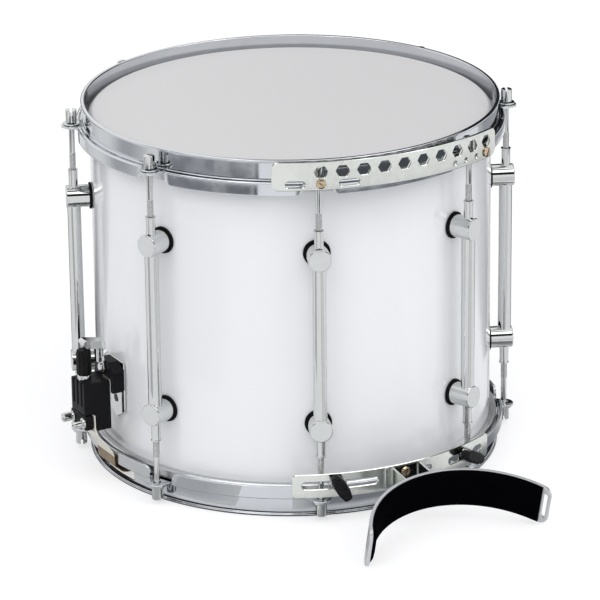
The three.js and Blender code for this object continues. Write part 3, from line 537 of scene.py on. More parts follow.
# Painted shade: the ivory strap's colour darkened to tan where it runs down into the gate
painted_shade_strap = surface("strap_painted_shade", (0.26, 0.20, 0.13), (0.20, 0.15, 0.09), 0, (0.35, 0.5), 180, 0.04, 0.00005)
gut = banded("snare_gut", (0.46, 0.33, 0.19), (0.33, 0.22, 0.12), 420, (0.4, 0.55), "DIAGONAL", 0.5)


# Shell with its bearing edges and the vent in the back
def shell_shapes():
    inner = SHELL_R - SHELL_WALL
    edge = SHELL_WALL / 2
    profile = rounded([
        (inner, SHELL_LOW + edge, 0.6), (SHELL_R - edge, SHELL_LOW, 0.8), (SHELL_R, SHELL_LOW + edge, 1),
        (SHELL_R, SHELL_HIGH - edge, 1), (SHELL_R - edge, SHELL_HIGH, 0.8), (inner, SHELL_HIGH - edge, 0.6),
    ])
    vent = moved(lathe(disc(VENT_R, inner - 5, SHELL_R + 5), 32), turn(VENT), at(0, 0, MIDDLE), OUTWARD)
    points, faces = carved(lathe(profile, FACETS), vent)
    middles = [sum((Vector(points[i]) for i in face), Vector()) / len(face) for face in faces]
    on_outside = [sqrt(c.x * c.x + c.y * c.y) > SHELL_R - 0.3 for c in middles]
    return (points, faces), on_outside


shell_shape, shell_outside = shell_shapes()
shell = piece("shell", [(shell_shape, wrap)], "drum")
shell.data.materials.append(wood)
shell.data.polygons.foreach_set("material_index", [0 if out else 1 for out in shell_outside])


def grommet_shape():
    bore, neck, flange = 4.1, 5.7, 9
    inner, top = SHELL_R - SHELL_WALL, 179.8
    profile = rounded([
        (bore, inner, 0.4), (neck, inner, 0.4), (neck, ON_SHELL, 0.2),
        (flange, ON_SHELL, 0.3), (flange, top, 0.7), (bore, top, 0.7),
    ])
    return moved(lathe(profile, 40), turn(VENT), at(0, 0, MIDDLE), OUTWARD)


piece("vent_grommet", [(grommet_shape(), chrome)], "drum")


# Heads: the film with a soft bend where it passes over the bearing edge
def head_shape():
    under = 315.5
    inner, outer, low = ON_SHELL, 178.8, 297.8
    return lathe(rounded([
        (0, under, 0), (174.9, under, 3), (inner, 311.8, 3), (inner, low, 0),
        (outer, low, 0), (outer, 312.2, 3.4), (175.3, HEAD_TOP, 3.4), (0, HEAD_TOP, 0),
    ]), FACETS)


piece("batter_head", [(head_shape(), film)], "drum", 60)
piece("snare_head", [(moved(head_shape(), MIRROR), clear_film)], "drum", 60)


# Counter hoops
def hoop_wall(gates):
    outer = HOOP_R + HOOP_WALL
    skirt_in = SKIRT_R - HOOP_WALL
    lip_under = RIM - HOOP_WALL
    body = lathe(rounded([
        (HOOP_R, SHELF_UNDER, 1.6), (skirt_in, SHELF_UNDER, 0.3), (skirt_in, SHELF_TOP, 0.3),
        (outer, SHELF_TOP, 0.7), (outer, lip_under, 0.8), (LIP_R, lip_under, 0.9),
        (LIP_R, RIM, 1.1), (HOOP_R, RIM, 1.1),
    ]), FACETS)
    if not gates:
        return body
    beyond = 220
    gate = plate([slab(-GATE_HALF, GATE_HALF, RIM - 16.8, RIM - 5.8, 3)], -beyond, beyond, 0)
    return carved(body, moved(gate, SIDEWAYS))


def skirt_shape(start, end):
    """The skirt between two ears, with its lower corners rounded and tucked in."""
    gap = asin(EAR_GAP / SKIRT_R) * 180 / pi
    corner = 7.0
    start += gap
    end -= gap
    per_mm = 180 / pi / SKIRT_R
    near = [0, 0.25, 0.8, 1.7, 2.9, 4.3, 5.7, corner]
    steps = 30
    a, b = start + corner * per_mm, end - corner * per_mm
    angles = [start + s * per_mm for s in near]
    angles += [a + (b - a) * k / steps for k in range(1, steps)]
    angles += [end - s * per_mm for s in reversed(near)]
    inner = SKIRT_R - HOOP_WALL
    root = SKIRT_R - 4.4

    def outline(angle):
        s = min(angle - start, end - angle) / per_mm
        rise = corner - sqrt(max(corner ** 2 - max(corner - s, 0) ** 2, 0))
        low = SKIRT_LOW + rise
        tuck = min(rise / corner, 1) * 0.6
        return rounded([
            (inner - tuck, low, 0.6), (SKIRT_R - tuck, low, 0.9), (SKIRT_R, SHELF_TOP, 1.5),
            (root, SHELF_TOP, 0), (root, SHELF_UNDER, 0), (inner, SHELF_UNDER, 1.4),
        ], 4)

    return carried(angles, outline)


def ear_shape():
    root = HOOP_R + HOOP_WALL - 0.6
    turns = [radians(d) for d in range(-10, 191, 12)]
    nose = [(EAR_R * cos(a), -ROD_CIRCLE - EAR_R * sin(a)) for a in turns]
    loop = [(EAR_HALF, -root), *nose, (-EAR_HALF, -root)]
    hole = ring(0, -ROD_CIRCLE, ROD_HOLE)
    return plate([loop, hole], SHELF_UNDER, SHELF_TOP, 0.7, 2)


def hoop_parts(gates):
    parts = [hoop_wall(gates)]
    for angle in LUGS:
        parts.append(skirt_shape(angle, angle + SECTOR))
        parts.append(moved(ear_shape(), turn(angle)))
    return parts


piece("batter_hoop", [(shape, steel) for shape in hoop_parts(False)], "drum", 35)
piece("snare_hoop", [(moved(shape, MIRROR), steel) for shape in hoop_parts(True)],
      "drum", 35)


# Lugs: tube, threaded sleeves, posts and their gaskets
def lug_parts():
    tube_end, sleeve_end, bore_end = 243, 266, 254.2
    sleeve_r, bead_r = 4, 4.5
    profile = [
        (0, MIDDLE), (TUBE_R, MIDDLE), (TUBE_R, tube_end), (sleeve_r, 244), (sleeve_r, 264.7), (bead_r, 265),
        (bead_r, sleeve_end), (ROD_HOLE, sleeve_end), (ROD_HOLE, bore_end), (0, bore_end),
    ]
    upper = upright(profile, ROD_CIRCLE, 36)
    metal = [upper, moved(upper, MIRROR)]
    gasket_r = 11.9
    post = disc(POST_R, 180.3, POST_FRONT, 0, 1.1, 4)
    gasket = rounded([
        (0, ON_SHELL, 0), (gasket_r, ON_SHELL, 0.3), (gasket_r, 180.4, 0.8), (0, 180.6, 0),
    ], 4)
    soft = []
    for height in POST_HEIGHTS:
        metal.append(radial(post, 56, 0, height))
        soft.append(radial(gasket, 56, 0, height))
    return [(shape, chrome) for shape in metal] + [(shape, rubber) for shape in soft]


lug = lug_parts()
for i, angle in enumerate(LUGS):
    put(f"lug_{i + 1}", lug, "drum", angle)


# Tension rods: a thread, a plain shank, a washer and a slotted head
def rod_parts(lift):
    washer = 307.8 + lift
    head = washer + 1.6
    top = head + 11.8
    rod_end, thread_low, thread_high = 254.5, 262.5, 281
    overlap = 0.2
    ridges = []
    height = thread_low
    while height < thread_high:
        ridges += [(THREAD_R, height), (THREAD_R, height + 0.35)]
        ridges += [(THREAD_ROOT, height + 0.6), (THREAD_ROOT, height + 0.85)]
        height += THREAD_PITCH
    threaded = [(0, rod_end), (ROD_R, rod_end), (ROD_R, 262.4), *ridges, (ROD_R, 281.9), (0, 281.9)]
    barrel = lathe(disc(5, head - overlap, top, 0, 0.8, 4), 36)
    plain = [
        upright(disc(ROD_R, 281.7, washer + overlap), ROD_CIRCLE, 20),
        upright(disc(7.5, washer, head, 0.3, 0.6, 3), ROD_CIRCLE, 36),
        moved(carved(barrel, slot_cut(2.2, top - 4.6, top + 2)), at(0, -ROD_CIRCLE, 0)),
    ]
    return plain, upright(threaded, ROD_CIRCLE, 20)


low_rod = rod_parts(0)
high_rod = rod_parts(2.6)
for i, angle in enumerate(LUGS):
    for side, (plain, threaded), flip in (
        ("batter", high_rod if i in (2, 3) else low_rod, Matrix.Identity(4)),
        ("snare", low_rod, MIRROR),
    ):
        parts = [(moved(shape, turn(angle), flip), chrome) for shape in plain]
        parts.append((moved(threaded, turn(angle), flip), thread_metal))
        name = f"{side}_rod_{i + 1}"
        piece(name, parts, f"{name}_body")


# Carrier plate with its hexes and lower row
def arc(angle, radius):
    return radians(angle) * radius


def carrier_plate():
    loops = [slab(arc(-33.75, PLATE_R), arc(26.25, PLATE_R), PLATE_LOW, PLATE_HIGH, 6)]
    z = PLATE_LOW + 15.9
    half, rise, fillet = 6, 4.8, 0.8
    for i in range(10):
        x = arc((i - 4.5) * HEX_PITCH, PLATE_R)
        loops.append(rounded([
            (x - half, z, fillet), (x - half / 2, z - rise, fillet), (x + half / 2, z - rise, fillet),
            (x + half, z, fillet), (x + half / 2, z + rise, fillet), (x - half / 2, z + rise, fillet),
        ], 2))
    row = PLATE_LOW + 5.5
    slot_half = 2.7
    for start, end in ((-30.6, -26.1), (-18.3, -13.5)):
        loops.append(slab(arc(start, PLATE_R), arc(end, PLATE_R), row - slot_half, row + slot_half, 2.65))
    for angle in (11.7, 15.2, 18.8):
        loops.append(ring(arc(angle, PLATE_R), row, 2, 20))
    for angle in (-PLATE_SCREWS, PLATE_SCREWS):
        loops.append(ring(arc(angle, PLATE_R), PLATE_SCREW_ROW, 2.6, 20))
    return bent(plate(loops, 0, PLATE_WALL, 0.45), PLATE_R - PLATE_WALL, PLATE_R)


piece("carrier_plate", [(carrier_plate(), nickel)], "drum")


# Slotted pan head screws through the plate
def carrier_screw():
    seat = PLATE_R + 0.3
    top = seat + 1.8
    head_r = 4.3
    pan = rounded([
        (0, seat, 0), (head_r, seat, 0.2), (head_r, top - 0.6, 0.6), (2.6, top, 1), (0, top, 0),
    ], 4)
    shank = lathe(disc(2, 206, seat + 0.1), 24)
    return joined(carved(lathe(pan, 40), slot_cut(1.2, top - 1.7, top + 2)), shank)


for side, angle, spin in (("left", -PLATE_SCREWS, -35), ("right", PLATE_SCREWS, 60)):
    shape = moved(carrier_screw(), turn(angle), at(0, 0, PLATE_SCREW_ROW), OUTWARD, turn(spin))
    piece(f"carrier_screw_{side}", [(shape, brass)], f"carrier_screw_{side}_body")


# Strap: a thin band that follows a path of (radius, height)
def strap_parts(face, top, bottom):
    centre = face + 0.7
    half_wall = STRAP_WALL / 2
    over_skirt = SKIRT_R + 1.2
    path = [
        (centre, top), (centre, bottom - 2), (over_skirt, 30.2), (over_skirt, 17.6), (SKIRT_R, 15.2),
        (187.3, 13.45), (183.8, 10.1), (HOOP_R, 9.3), (SHELL_R, 8.5), (152.3, 8.5),
    ]
    soft = [path[0]]
    for a, b, c in zip(path, path[1:], path[2:]):
        for t in (0.15, 0.5, 0.85):
            p = Vector(a).lerp(Vector(b), 0.5 + t / 2)
            q = Vector(b).lerp(Vector(c), t / 2)
            soft.append(tuple(p.lerp(q, t)))
    soft.append(path[-1])
    left, right = [], []
    for i, here in enumerate(soft):
        before = Vector(soft[max(i - 1, 0)])
        after = Vector(soft[min(i + 1, len(soft) - 1)])
        along = (after - before).normalized()
        left.append((-(here[0] - along.y * half_wall), here[1] + along.x * half_wall))
        right.append((-(here[0] + along.y * half_wall), here[1] - along.x * half_wall))
    points, faces = [], []
    for x in (-STRAP_HALF, STRAP_HALF):
        points += [(x, y, z) for y, z in left] + [(x, y, z) for y, z in right]
    n = len(soft)
    rows = [list(range(n)), list(range(n, 2 * n)), list(range(3 * n, 4 * n)), list(range(2 * n, 3 * n))]
    for a, b in zip(rows, rows[1:] + rows[:1]):
        faces += [(a[k], a[k + 1], b[k + 1], b[k]) for k in range(n - 1)]
    faces += [[row[0] for row in rows], [row[-1] for row in rows]]

    # The lowest faces take the darker tan finish, as painted shade inside the gate
    def is_low(corners):
        return all(points[i][2] < STRAP_SHADE_BELOW for i in corners)

    upper = [corners for corners in faces if not is_low(corners)]
    lower = [corners for corners in faces if is_low(corners)]
    return [((points, upper), ivory), ((points, lower), painted_shade_strap)]


put("strainer_strap", strap_parts(STRAINER_SEAT, 68, 51.5), "snares", crease=40)
put("butt_strap", strap_parts(BUTT_FACE, 63.5, 47), "drum", BUTT, 40)


# Strainer back plate and base with the lever's pin
def backplate_shape():
    half, point, shoulder, top = 16, 56, 66, 112
    outline = rounded([
        (-half, top, 2), (-half, shoulder, 5), (0, point, 2.5), (half, shoulder, 5), (half, top, 2),
    ])
    return outward([outline, ring(0, 74, 3.6)], ON_SHELL, 179.9, 0.5)


def base_shape():
    half, top_half = 17.5, 9.5
    low, shoulder, top = 85, 104.5, 112.5
    outline = rounded([
        (-half, low, 2.5), (half, low, 2.5), (half, shoulder, 3),
        (top_half, top, 3), (-top_half, top, 3), (-half, shoulder, 3),
    ])
    return outward([outline], 180.2, BASE_FACE, 1.0, 3)


def pin_shape():
    pin_r, head_r = 2.6, 3.8
    back, neck, front = 191, 194.2, 195.6
    profile = rounded([
        (0, back, 0), (pin_r, back, 0), (pin_r, neck, 0),
        (head_r, neck, 0.2), (head_r, front, 0.6), (0, front, 0),
    ])
    return radial(profile, 32, 0, PIN_HEIGHT)


put("strainer_backplate", [(backplate_shape(), chrome)], "drum")
put("strainer_base", [(base_shape(), cast_black), (pin_shape(), chrome)], "drum")


# Throw-off lever: an eye on the pin, a narrow leg and a hollow paddle over the knob
def paddle_outline(wall):
    tip, top, low = 213.5 - wall, 135.6 - wall, 128 - wall
    return [(-SLIDER_BACK - wall, 124.4 - wall, 0.3), (-SLIDER_BACK - wall, 132 - wall, 1.2),
            (-tip + 3.2, top, 1.6), (-tip, top - 2.6, 1.6), (-tip + 3.6, low, 0.8)]


def lever_shapes():
    leg_half, eye_r, eye_top, leg_top = 2, 5, 116.5, 126.2
    eye = [(leg_half, leg_top), (-leg_half, leg_top), (-leg_half, eye_top)]
    for d in range(180, 361, 15):
        eye.append((eye_r * cos(radians(d)), PIN_HEIGHT + eye_r * sin(radians(d))))
    eye.append((leg_half, eye_top))
    leg = slab(-leg_half, leg_half, -SLIDER_BACK - 6, -SLIDER_BACK, 0.8, 3)
    hollow = [(y, z, 0.4) for y, z, _ in paddle_outline(1.5)]
    return [
        outward([eye, ring(0, PIN_HEIGHT, 3)], SLIDER_BACK, SLIDER_BACK + 2.4, 0.5, 2),
        plate([leg], 111.3, leg_top, 0.5, 2),
        carved(
            across([rounded(paddle_outline(0), 4)], -5.5, 5.5, 0.7, 3),
            across([rounded(hollow, 2)], -4, 4, 0),
        ),
    ]


put("throw_off_lever", [(shape, chrome) for shape in lever_shapes()], "lever")


# Slider: a grooved box with a chrome collar under the knob, cut back where the clamp sits
def slider_parts():
    grooves, groove_depth, draft = 3, 1.2, 0.5
    pitch = 2 * SLIDER_HALF / (2 * grooves + 1)
    bottom = groove_depth - STRAINER_FACE
    box = [(-SLIDER_HALF, -SLIDER_BACK), (SLIDER_HALF, -SLIDER_BACK), (SLIDER_HALF, -STRAINER_FACE)]
    for i in reversed(range(grooves)):
        left = -SLIDER_HALF + (2 * i + 1) * pitch
        box += [(left + pitch, -STRAINER_FACE), (left + pitch - draft, bottom),
                (left + draft, bottom), (left, -STRAINER_FACE)]
    box.append((-SLIDER_HALF, -STRAINER_FACE))
    waist = [(x, y) for x, y in box if abs(x) == SLIDER_HALF]
    foot = [(x, max(y, -STRAINER_SEAT)) for x, y in waist]
    box_rounded = rounded([(x, y, 1.2 if abs(x) == SLIDER_HALF else 0) for x, y in box], 3)
    waist_rounded = rounded([(x, y, 1.2) for x, y in waist], 3)
    foot_rounded = rounded([(x, y, 0.8) for x, y in foot], 3)
    low, top, collar_r = 97.5, 103, 6.2
    collar = rounded([(0, low, 0), (5.4, low, 0.4), (collar_r, 99.5, 0.4), (collar_r, top, 0.8), (0, top, 0)])
    strip = slab(-2, 14.2, 78, 99.2, 3.5)
    return [
        (plate([box_rounded], 74.6, 98, 0.8, 2), cast_black),
        (plate([waist_rounded], 68.6, 75.8, 0.5, 2), cast_black),
        (plate([foot_rounded], 52, 69.8, 0.5, 2), cast_black),
        (upright(collar, KNOB_PLACE, 36), chrome),
        (outward([strip], SLIDER_BACK + 0.1, SLIDER_BACK + 1.2, 0.3, 2), chrome),
    ]


put("strainer_slider", slider_parts(), "snares")


# Tension knob
def fluted(radius, depth, flutes, low, high, crown):
    """An upright grip with soft flutes and a rounded top."""
    levels = [(0.94, low), (1.0, low + 0.8), (1.0, high - crown)]
    for a in (20, 40, 60, 75, 90):
        levels.append((1 - 0.30 * (1 - cos(radians(a))), high - crown + crown * sin(radians(a))))
    count = flutes * 8
    points, faces = [], []
    for share, height in levels:
        for k in range(count):
            a = 2 * pi * k / count
            r = radius * share - depth * (0.5 - 0.5 * cos(flutes * a)) ** 1.5
            points.append((r * cos(a), r * sin(a), height))
    for row in range(len(levels) - 1):
        for k in range(count):
            n = (k + 1) % count
            faces.append((row * count + k, row * count + n, (row + 1) * count + n, (row + 1) * count + k))
    faces.append(list(range(count))[::-1])
    faces.append(list(range((len(levels) - 1) * count, len(levels) * count)))
    return points, faces


def knob_parts():
    grip = fluted(radius=6.75, depth=0.7, flutes=10, low=103.3, high=126.3, crown=3.5)
    stem = upright(disc(2, 92.5, 104), KNOB_PLACE, 20)
    return [(moved(grip, at(0, -KNOB_PLACE, 0)), knob_black), (stem, chrome)]


put("tension_knob", knob_parts(), "knob", crease=45)


# Clamps with their slotted screws
def clamp_shape(face, middle, wall):
    half, half_height = 15, 6.75
    loop = slab(-half, half, middle - half_height, middle + half_height, 2.2)
    holes = [ring(side * KEY_PLACE, middle, 2.2, 20) for side in (-1, 1)]
    return outward([loop, *holes], face + 1.4, face + 1.4 + wall, 0.8, 3)


def key_screw(face, middle, wall, side):
    head = face + wall + 1.7
    top = head + 10.5
    neck_r, grip_r = 3.1, 4
    flange = disc(4.9, head, head + 1.4, 0.2, 0.6)
    grip = rounded([
        (0, head + 1.2, 0), (neck_r, head + 1.2, 0), (neck_r, head + 2.6, 0.3),
        (grip_r, head + 3.4, 0.4), (grip_r, top, 0.9), (0, top, 0),
    ])
    shank = disc(1.8, face - 9, head + 0.1)
    x = side * KEY_PLACE
    slotted = carved(lathe(grip, 36), slot_cut(1.6, head + 7.3, head + 12))
    slotted = moved(slotted, at(x, 0, middle), OUTWARD, turn(8 * side))
    return joined(radial(flange, 36, x, middle), radial(shank, 20, x, middle), slotted)


for place, seat, middle, wall, angle, finish, slot in (
    ("strainer", STRAINER_SEAT, CLAMP_MIDDLE, 7.5, STRAINER, cast_black, "strainer_black"),
    ("butt", BUTT_FACE, BUTT_MIDDLE, 4, BUTT, chrome, "chrome"),
):
    body = "snares" if place == "strainer" else "drum"
    put(f"{place}_clamp", [(clamp_shape(seat, middle, wall), finish)], body, angle)
    for side, sign in (("left", -1), ("right", 1)):
        name = f"{place}_screw_{side}"
        put(name, [(key_screw(seat, middle, wall, sign), chrome)], f"{name}_body", angle)


# Butt block with its foot
def butt_shapes():
    half, back = 17, 180
    foot = slab(-half, half, 44, 82, 4)
    block = rounded([
        (-half, -BUTT_FACE, 1.5), (half, -BUTT_FACE, 1.5), (half, -back, 0), (-half, -back, 0),
    ], 4)
    return [outward([foot], ON_SHELL, 182.3, 0.9, 3), plate([block], 48, 70.2, 0.8, 2)]


put("butt_plate", [(shape, chrome) for shape in butt_shapes()], "drum", BUTT)


# Snares: gut strands between two clamped bars
def snare_parts():
    strand = lathe(disc(1, -SNARE_HALF, SNARE_HALF), 12)
    parts = []
    for i in range(12):
        parts.append((moved(strand, at(0, (i - 5.5) * SNARE_PITCH, SNARE_LEVEL), ALONG), gut))
    for start, end in ((-152, -142), (142, 152)):
        parts.append((plate([slab(start, end, -22.1, 22.1, 1.5)], 6.7, 9.3, 0.5, 2), nickel))
    return parts


piece("snare_wires", snare_parts(), "snares")


# Leg rest plate and its hinge tabs, turned down about the hinge bolt
DROOP = at(0, PIVOT_Y, PIVOT_Z) @ Matrix.Rotation(radians(REST_DROOP), 4, "X") @ at(0, -PIVOT_Y, -PIVOT_Z)


def rest_place(shape):
    return moved(shape, DROOP, at(REST_X, REST_Y, 0), turn(180))


def rest_band():
    end = arc(68.2, REST_R)
    loops = [slab(-end, end, REST_LOW, REST_HIGH, 8, 8)]
    middle = (REST_LOW + REST_HIGH) / 2
    slot_half = 12
    for sign in (-1, 1):
        near, far = sorted((sign * arc(64.1, REST_R), sign * arc(66.7, REST_R)))
        loops.append(slab(near, far, middle - slot_half, middle + slot_half, 2.1, 6))
    return bent(plate(loops, 0, REST_WALL, 0.5, 2), REST_R - REST_WALL, REST_R, 2)


def eye(root, root_half, radius):
    """The outline of a hinge arm from its root to the eye round the bolt, and its hole."""
    out = [(root, PIVOT_Z - root_half)]
    way = 1 if root < PIVOT_Y else -1
    for d in range(-90, 91, 12):
        out.append((PIVOT_Y + way * radius * cos(radians(d)), PIVOT_Z + radius * sin(radians(d))))
    out.append((root, PIVOT_Z + root_half))
    return [out, ring(PIVOT_Y, PIVOT_Z, 3, 24)]


def hinge_pair(outline, near, far):
    return [across(outline, REST_X + low, REST_X + high, 0.4) for low, high in ((-far, -near), (near, far))]


tabs = [moved(tab, DROOP) for tab in hinge_pair(eye(-236.4, 12, 4.6), 9.4, 11.8)]
rest_shapes = [rest_place(rest_band()), *tabs]
piece("leg_rest_plate", [(shape, aluminium) for shape in rest_shapes], "leg_rest")


# Foam pad: a soft section carried along the hollow side, with rounded ends
def pad_section(share):
    """The foam's section: full at share 0, thin at its ends at share 1."""
    inner, outer, thin = 90.2, 94.7, 1.2
    ease = sqrt(max(1 - share ** 2, 0))
    low, high = REST_LOW + 0.3, REST_HIGH - 0.3
    thick = thin + (outer - inner - thin) * ease
    out = [(outer, low + 0.6), (outer, high - 0.6)]
    steps = 24
    for k in range(steps + 1):
        u = k / steps
        bulge = (1 - abs(2 * u - 1) ** 5) ** 0.6
        dip = 0.18 * sin(u * 21 + share * 3) * sin(share * 17 + u * 5)
        out.append((outer - 0.5 - (thick - 0.5) * bulge + dip * bulge, high + (low - high) * u))
    return out


PAD_END = 63.2
PAD_STEPS = 60
pad_angles = [k * PAD_END / PAD_STEPS for k in range(-PAD_STEPS, PAD_STEPS + 1)]


def pad_outline(angle):
    taper = 2
    share = max(abs(angle) - PAD_END + taper, 0) / taper
    return pad_section(min(share, 1))


pad_shape = rest_place(carried(pad_angles, pad_outline))
pad = piece("leg_rest_pad", [(pad_shape, foam)], "leg_rest", 60)


# Bracket strip with rounded slots, its hinge arms with a near-black sheet behind them as painted shade in the
# middle slot, a rib and a screw
def strip_shape():
    low, high = SLOT_ROW - 11.5, SLOT_ROW + 10.5
    loops = [slab(arc(-30, STRIP_R), arc(27.5, STRIP_R), low, high, 5)]
    for start, end, half, corner in (
        (-27.5, -8.5, 3.5, 3.4), (-4.2, 2.2, 8, 1.5), (4, 6.5, 3.5, 2.5), (12, 24.5, 3.5, 3.4),
    ):
        loops.append(slab(arc(start, STRIP_R), arc(end, STRIP_R), SLOT_ROW - half, SLOT_ROW + half, corner))
    return bent(plate(loops, 0, STRIP_WALL, 0.45), STRIP_R - STRIP_WALL, STRIP_R)


def rib_shape():
    flipped = Matrix.Diagonal((1, -1, 1, 1))
    return moved(plate([slab(-1.7, 1.7, 203.8, 206.2, 1.0, 4)], 27, 46.8, 0.5, 2), turn(-6.45), flipped)


# A near-black sheet behind the strip's middle slot: painted shade, not a part of the drum
def shade_sheet_shape():
    radius = 201.5
    return bent(plate([slab(arc(-5, radius), arc(3, radius), 27, 46, 1)], 0, 1.4, 0.2), 200.2, 201.6)


def strip_screw():
    head_r = 4.6
    pan = rounded([(0, 0, 0), (head_r, 0, 0), (head_r, 2.2, 0.5), (3.4, 3.6, 1.2), (0, 3.9, 0)], 4)
    slotted = carved(lathe(pan, 40), slot_cut(1.2, 2.7, 6))
    return moved(slotted, at(REST_X, -201.4, 39), OUTWARD, turn(70))


arms = hinge_pair(eye(-202.9, 8.5, 5.2), 12.4, 14.7)
piece("leg_rest_bracket", [
    (strip_shape(), nickel), (rib_shape(), chrome), (shade_sheet_shape(), painted_shade_sheet), (strip_screw(), brass),
    *[(arm, nickel) for arm in arms],
], "rest_bracket")


def bolt_shape():
    bolt_r, head_r, neck, end = 2.5, 4.6, 15, 17.4
    profile = rounded([
        (0, -end, 0), (head_r, -end, 0.9), (head_r, -neck, 0.2), (bolt_r, -neck, 0),
        (bolt_r, neck, 0), (head_r, neck, 0.2), (head_r, end, 0.9), (0, end, 0),
    ], 4)
    return moved(lathe(profile, 36), at(REST_X, PIVOT_Y, PIVOT_Z), ALONG)


piece("leg_rest_bolt", [(bolt_shape(), chrome)], "rest_bracket")


# Hooks over the skirt and the wing screws that close them
def hook_shape():
    top = 30.2
    outer, throat_out, throat_in = 201.1, 190.6, 187.1
    lip = throat_in - 2.5
    loop = [
        (-outer, top - 0.4), (-throat_out, top - 0.4), (-throat_out, top + 0.6), (-throat_in, top + 0.6),
        (-throat_in, top - 5.7), (-lip, top - 5.7), (-lip, top + 2.5), (-throat_out - 2.5, top + 5),
        (-throat_out - 2.5, SLOT_ROW + 6.5), (-outer, SLOT_ROW + 6.5),
    ]
    return across([loop], -7, 7, 0.3)


def wing_parts(spin):
    shank = radial(disc(2.5, 194.7, 205), 24, 0, SLOT_ROW)
    washer = radial(disc(6.2, 204.3, 205.4, 0.2, 0.4), 40, 0, SLOT_ROW)
    boss = radial(disc(5, 205.2, 208, 0.4, 0.4), 32, 0, SLOT_ROW)
    half, end_half, waist, waist_half = 13, 3.6, 4.5, 5.6
    loop = rounded([
        (-half, -end_half, 2.6), (-waist, -waist_half, 3), (waist, -waist_half, 3), (half, -end_half, 2.6),
        (half, end_half, 2.6), (waist, waist_half, 3), (-waist, waist_half, 3), (-half, end_half, 2.6),
    ], 4)
    wing = moved(plate([loop], 207.2, 216.2, 2.2, 4), at(0, 0, SLOT_ROW), OUTWARD, turn(spin))
    return [(shank, chrome), (washer, chrome), (boss, wing_black), (wing, wing_black)]


for side, angle, spin in (("left", -18.3, 60), ("right", 18.3, 26)):
    put(f"bracket_hook_{side}", [(hook_shape(), chrome)], "drum", angle)
    put(f"wing_screw_{side}", wing_parts(-spin), f"wing_screw_{side}_body", angle)

# CAD nodes that stay and get a finish here
for name, material in (
    ("batter_flesh_hoop", aluminium), ("snare_flesh_hoop", aluminium),
    ("carrier_bracket_left", nickel), ("carrier_bracket_right", nickel),
):
    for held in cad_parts[name].material_slots:
        held.material = material


# Floor: lit as a pale floor, and lifted to white for what the camera sees
def floor():
    reach, drop = 6, 0.0002
    corners = [(-reach, -reach), (reach, -reach), (reach, reach), (-reach, reach)]
    mesh = bpy.data.meshes.new("floor")
    mesh.from_pydata([(x, y, -HEAD_TOP * MM - drop) for x, y in corners], [], [(0, 1, 2, 3)])
    material = bpy.data.materials.new("floor")
    material.use_nodes = True
    tree = material.node_tree
    tree.nodes.remove(tree.nodes["Principled BSDF"])
    lit = node(tree, "ShaderNodeBsdfDiffuse", Color=(0.78, 0.78, 0.79, 1))
    dim = node(tree, "ShaderNodeBsdfDiffuse", Color=(0.42, 0.42, 0.43, 1))
    glow = node(tree, "ShaderNodeEmission", Color=(1, 1, 1, 1), Strength=0.60)
    seen = node(tree, "ShaderNodeAddShader")
    link(tree, dim.outputs[0], seen.inputs[0])
    link(tree, glow.outputs[0], seen.inputs[1])
    mixed = by_ray(tree, ("Camera", "Transmission"), lit, seen)
    link(tree, mixed, tree.nodes["Material Output"].inputs["Surface"])
    mesh.materials.append(material)
    added("floor", mesh)


floor()


# Glowing cards that only glossy rays see, as painted reflections and painted shade in the metal: on the
# floor, standing and overhead
def card_finish():
    material = bpy.data.materials.new("card")
    material.use_nodes = True
    tree = material.node_tree
    tree.nodes.remove(tree.nodes["Principled BSDF"])
    tone = node(tree, "ShaderNodeVertexColor")
    tone.layer_name = "tone"
    glow = node(tree, "ShaderNodeEmission")
    link(tree, tone.outputs["Color"], glow.inputs["Color"])
    link(tree, glow.outputs[0], tree.nodes["Material Output"].inputs["Surface"])
    return material


card_material = card_finish()
FLOOR_TONE = 0.62


def card(name, grid, tones):
    """A surface through rows of points, with a grey tone at each point."""
    wide = len(grid[0])
    points = [point for row in grid for point in row]
    faces = []
    for j in range(len(grid) - 1):
        here, on = j * wide, (j + 1) * wide
        faces += [(here + k, here + k + 1, on + k + 1, on + k) for k in range(wide - 1)]
    mesh = bpy.data.meshes.new(name)
    mesh.from_pydata(points, [], faces)
    # Painted reflections: the darker a card's tone, the bluer its colour
    colours = []
    for grey in (tone for row in tones for tone in row):
        cool = max(0, 1 - grey / FLOOR_TONE)
        colours += [grey, grey * (1 + 0.07 * cool), grey * (1 + 0.20 * cool), 1]
    mesh.color_attributes.new("tone", "FLOAT_COLOR", "POINT").data.foreach_set("color", colours)
    mesh.materials.append(card_material)
    made = added(name, mesh)
    made.visible_camera = False
    made.visible_diffuse = False
    made.visible_shadow = False
    made.visible_transmission = False


def spoke(azimuth, distance, height):
    a = radians(azimuth)
    return (distance * sin(a), -distance * cos(a), height - HEAD_TOP * MM)


def turns_of(start, end, soft):
    """Azimuths from start to end, with how much of the card's tone each has."""
    steps = max(int((end - start) / 4), 2)
    inner = [start + (end - start) * k / steps for k in range(steps + 1)]
    return [(start - soft[0], 0), *[(a, 1) for a in inner], (end + soft[1], 0)]


def flat_card(name, start, end, near, far, grey, soft=(3, 3), height=0.0004, edge=0.01, base=FLOOR_TONE):
    reach = [(near, 0), (near + edge, 1), (far - edge, 1), (far, 0)]
    turns = turns_of(start, end, soft)
    grid = [[spoke(a, r, height) for r, _ in reach] for a, _ in turns]
    tones = [[base + (grey - base) * u * v for _, v in reach] for _, u in turns]
    card(name, grid, tones)


def standing_card(name, start, end, distance, low, high, grey):
    turns = turns_of(start, end, (6, 6))
    rows = [(low, 0), (low + 0.05, 1), (high - 0.05, 1), (high, 0)]
    grid = [[spoke(a, distance, z) for z, _ in rows] for a, _ in turns]
    card(name, grid, [[1 + (grey - 1) * u * v for _, v in rows] for _, u in turns])


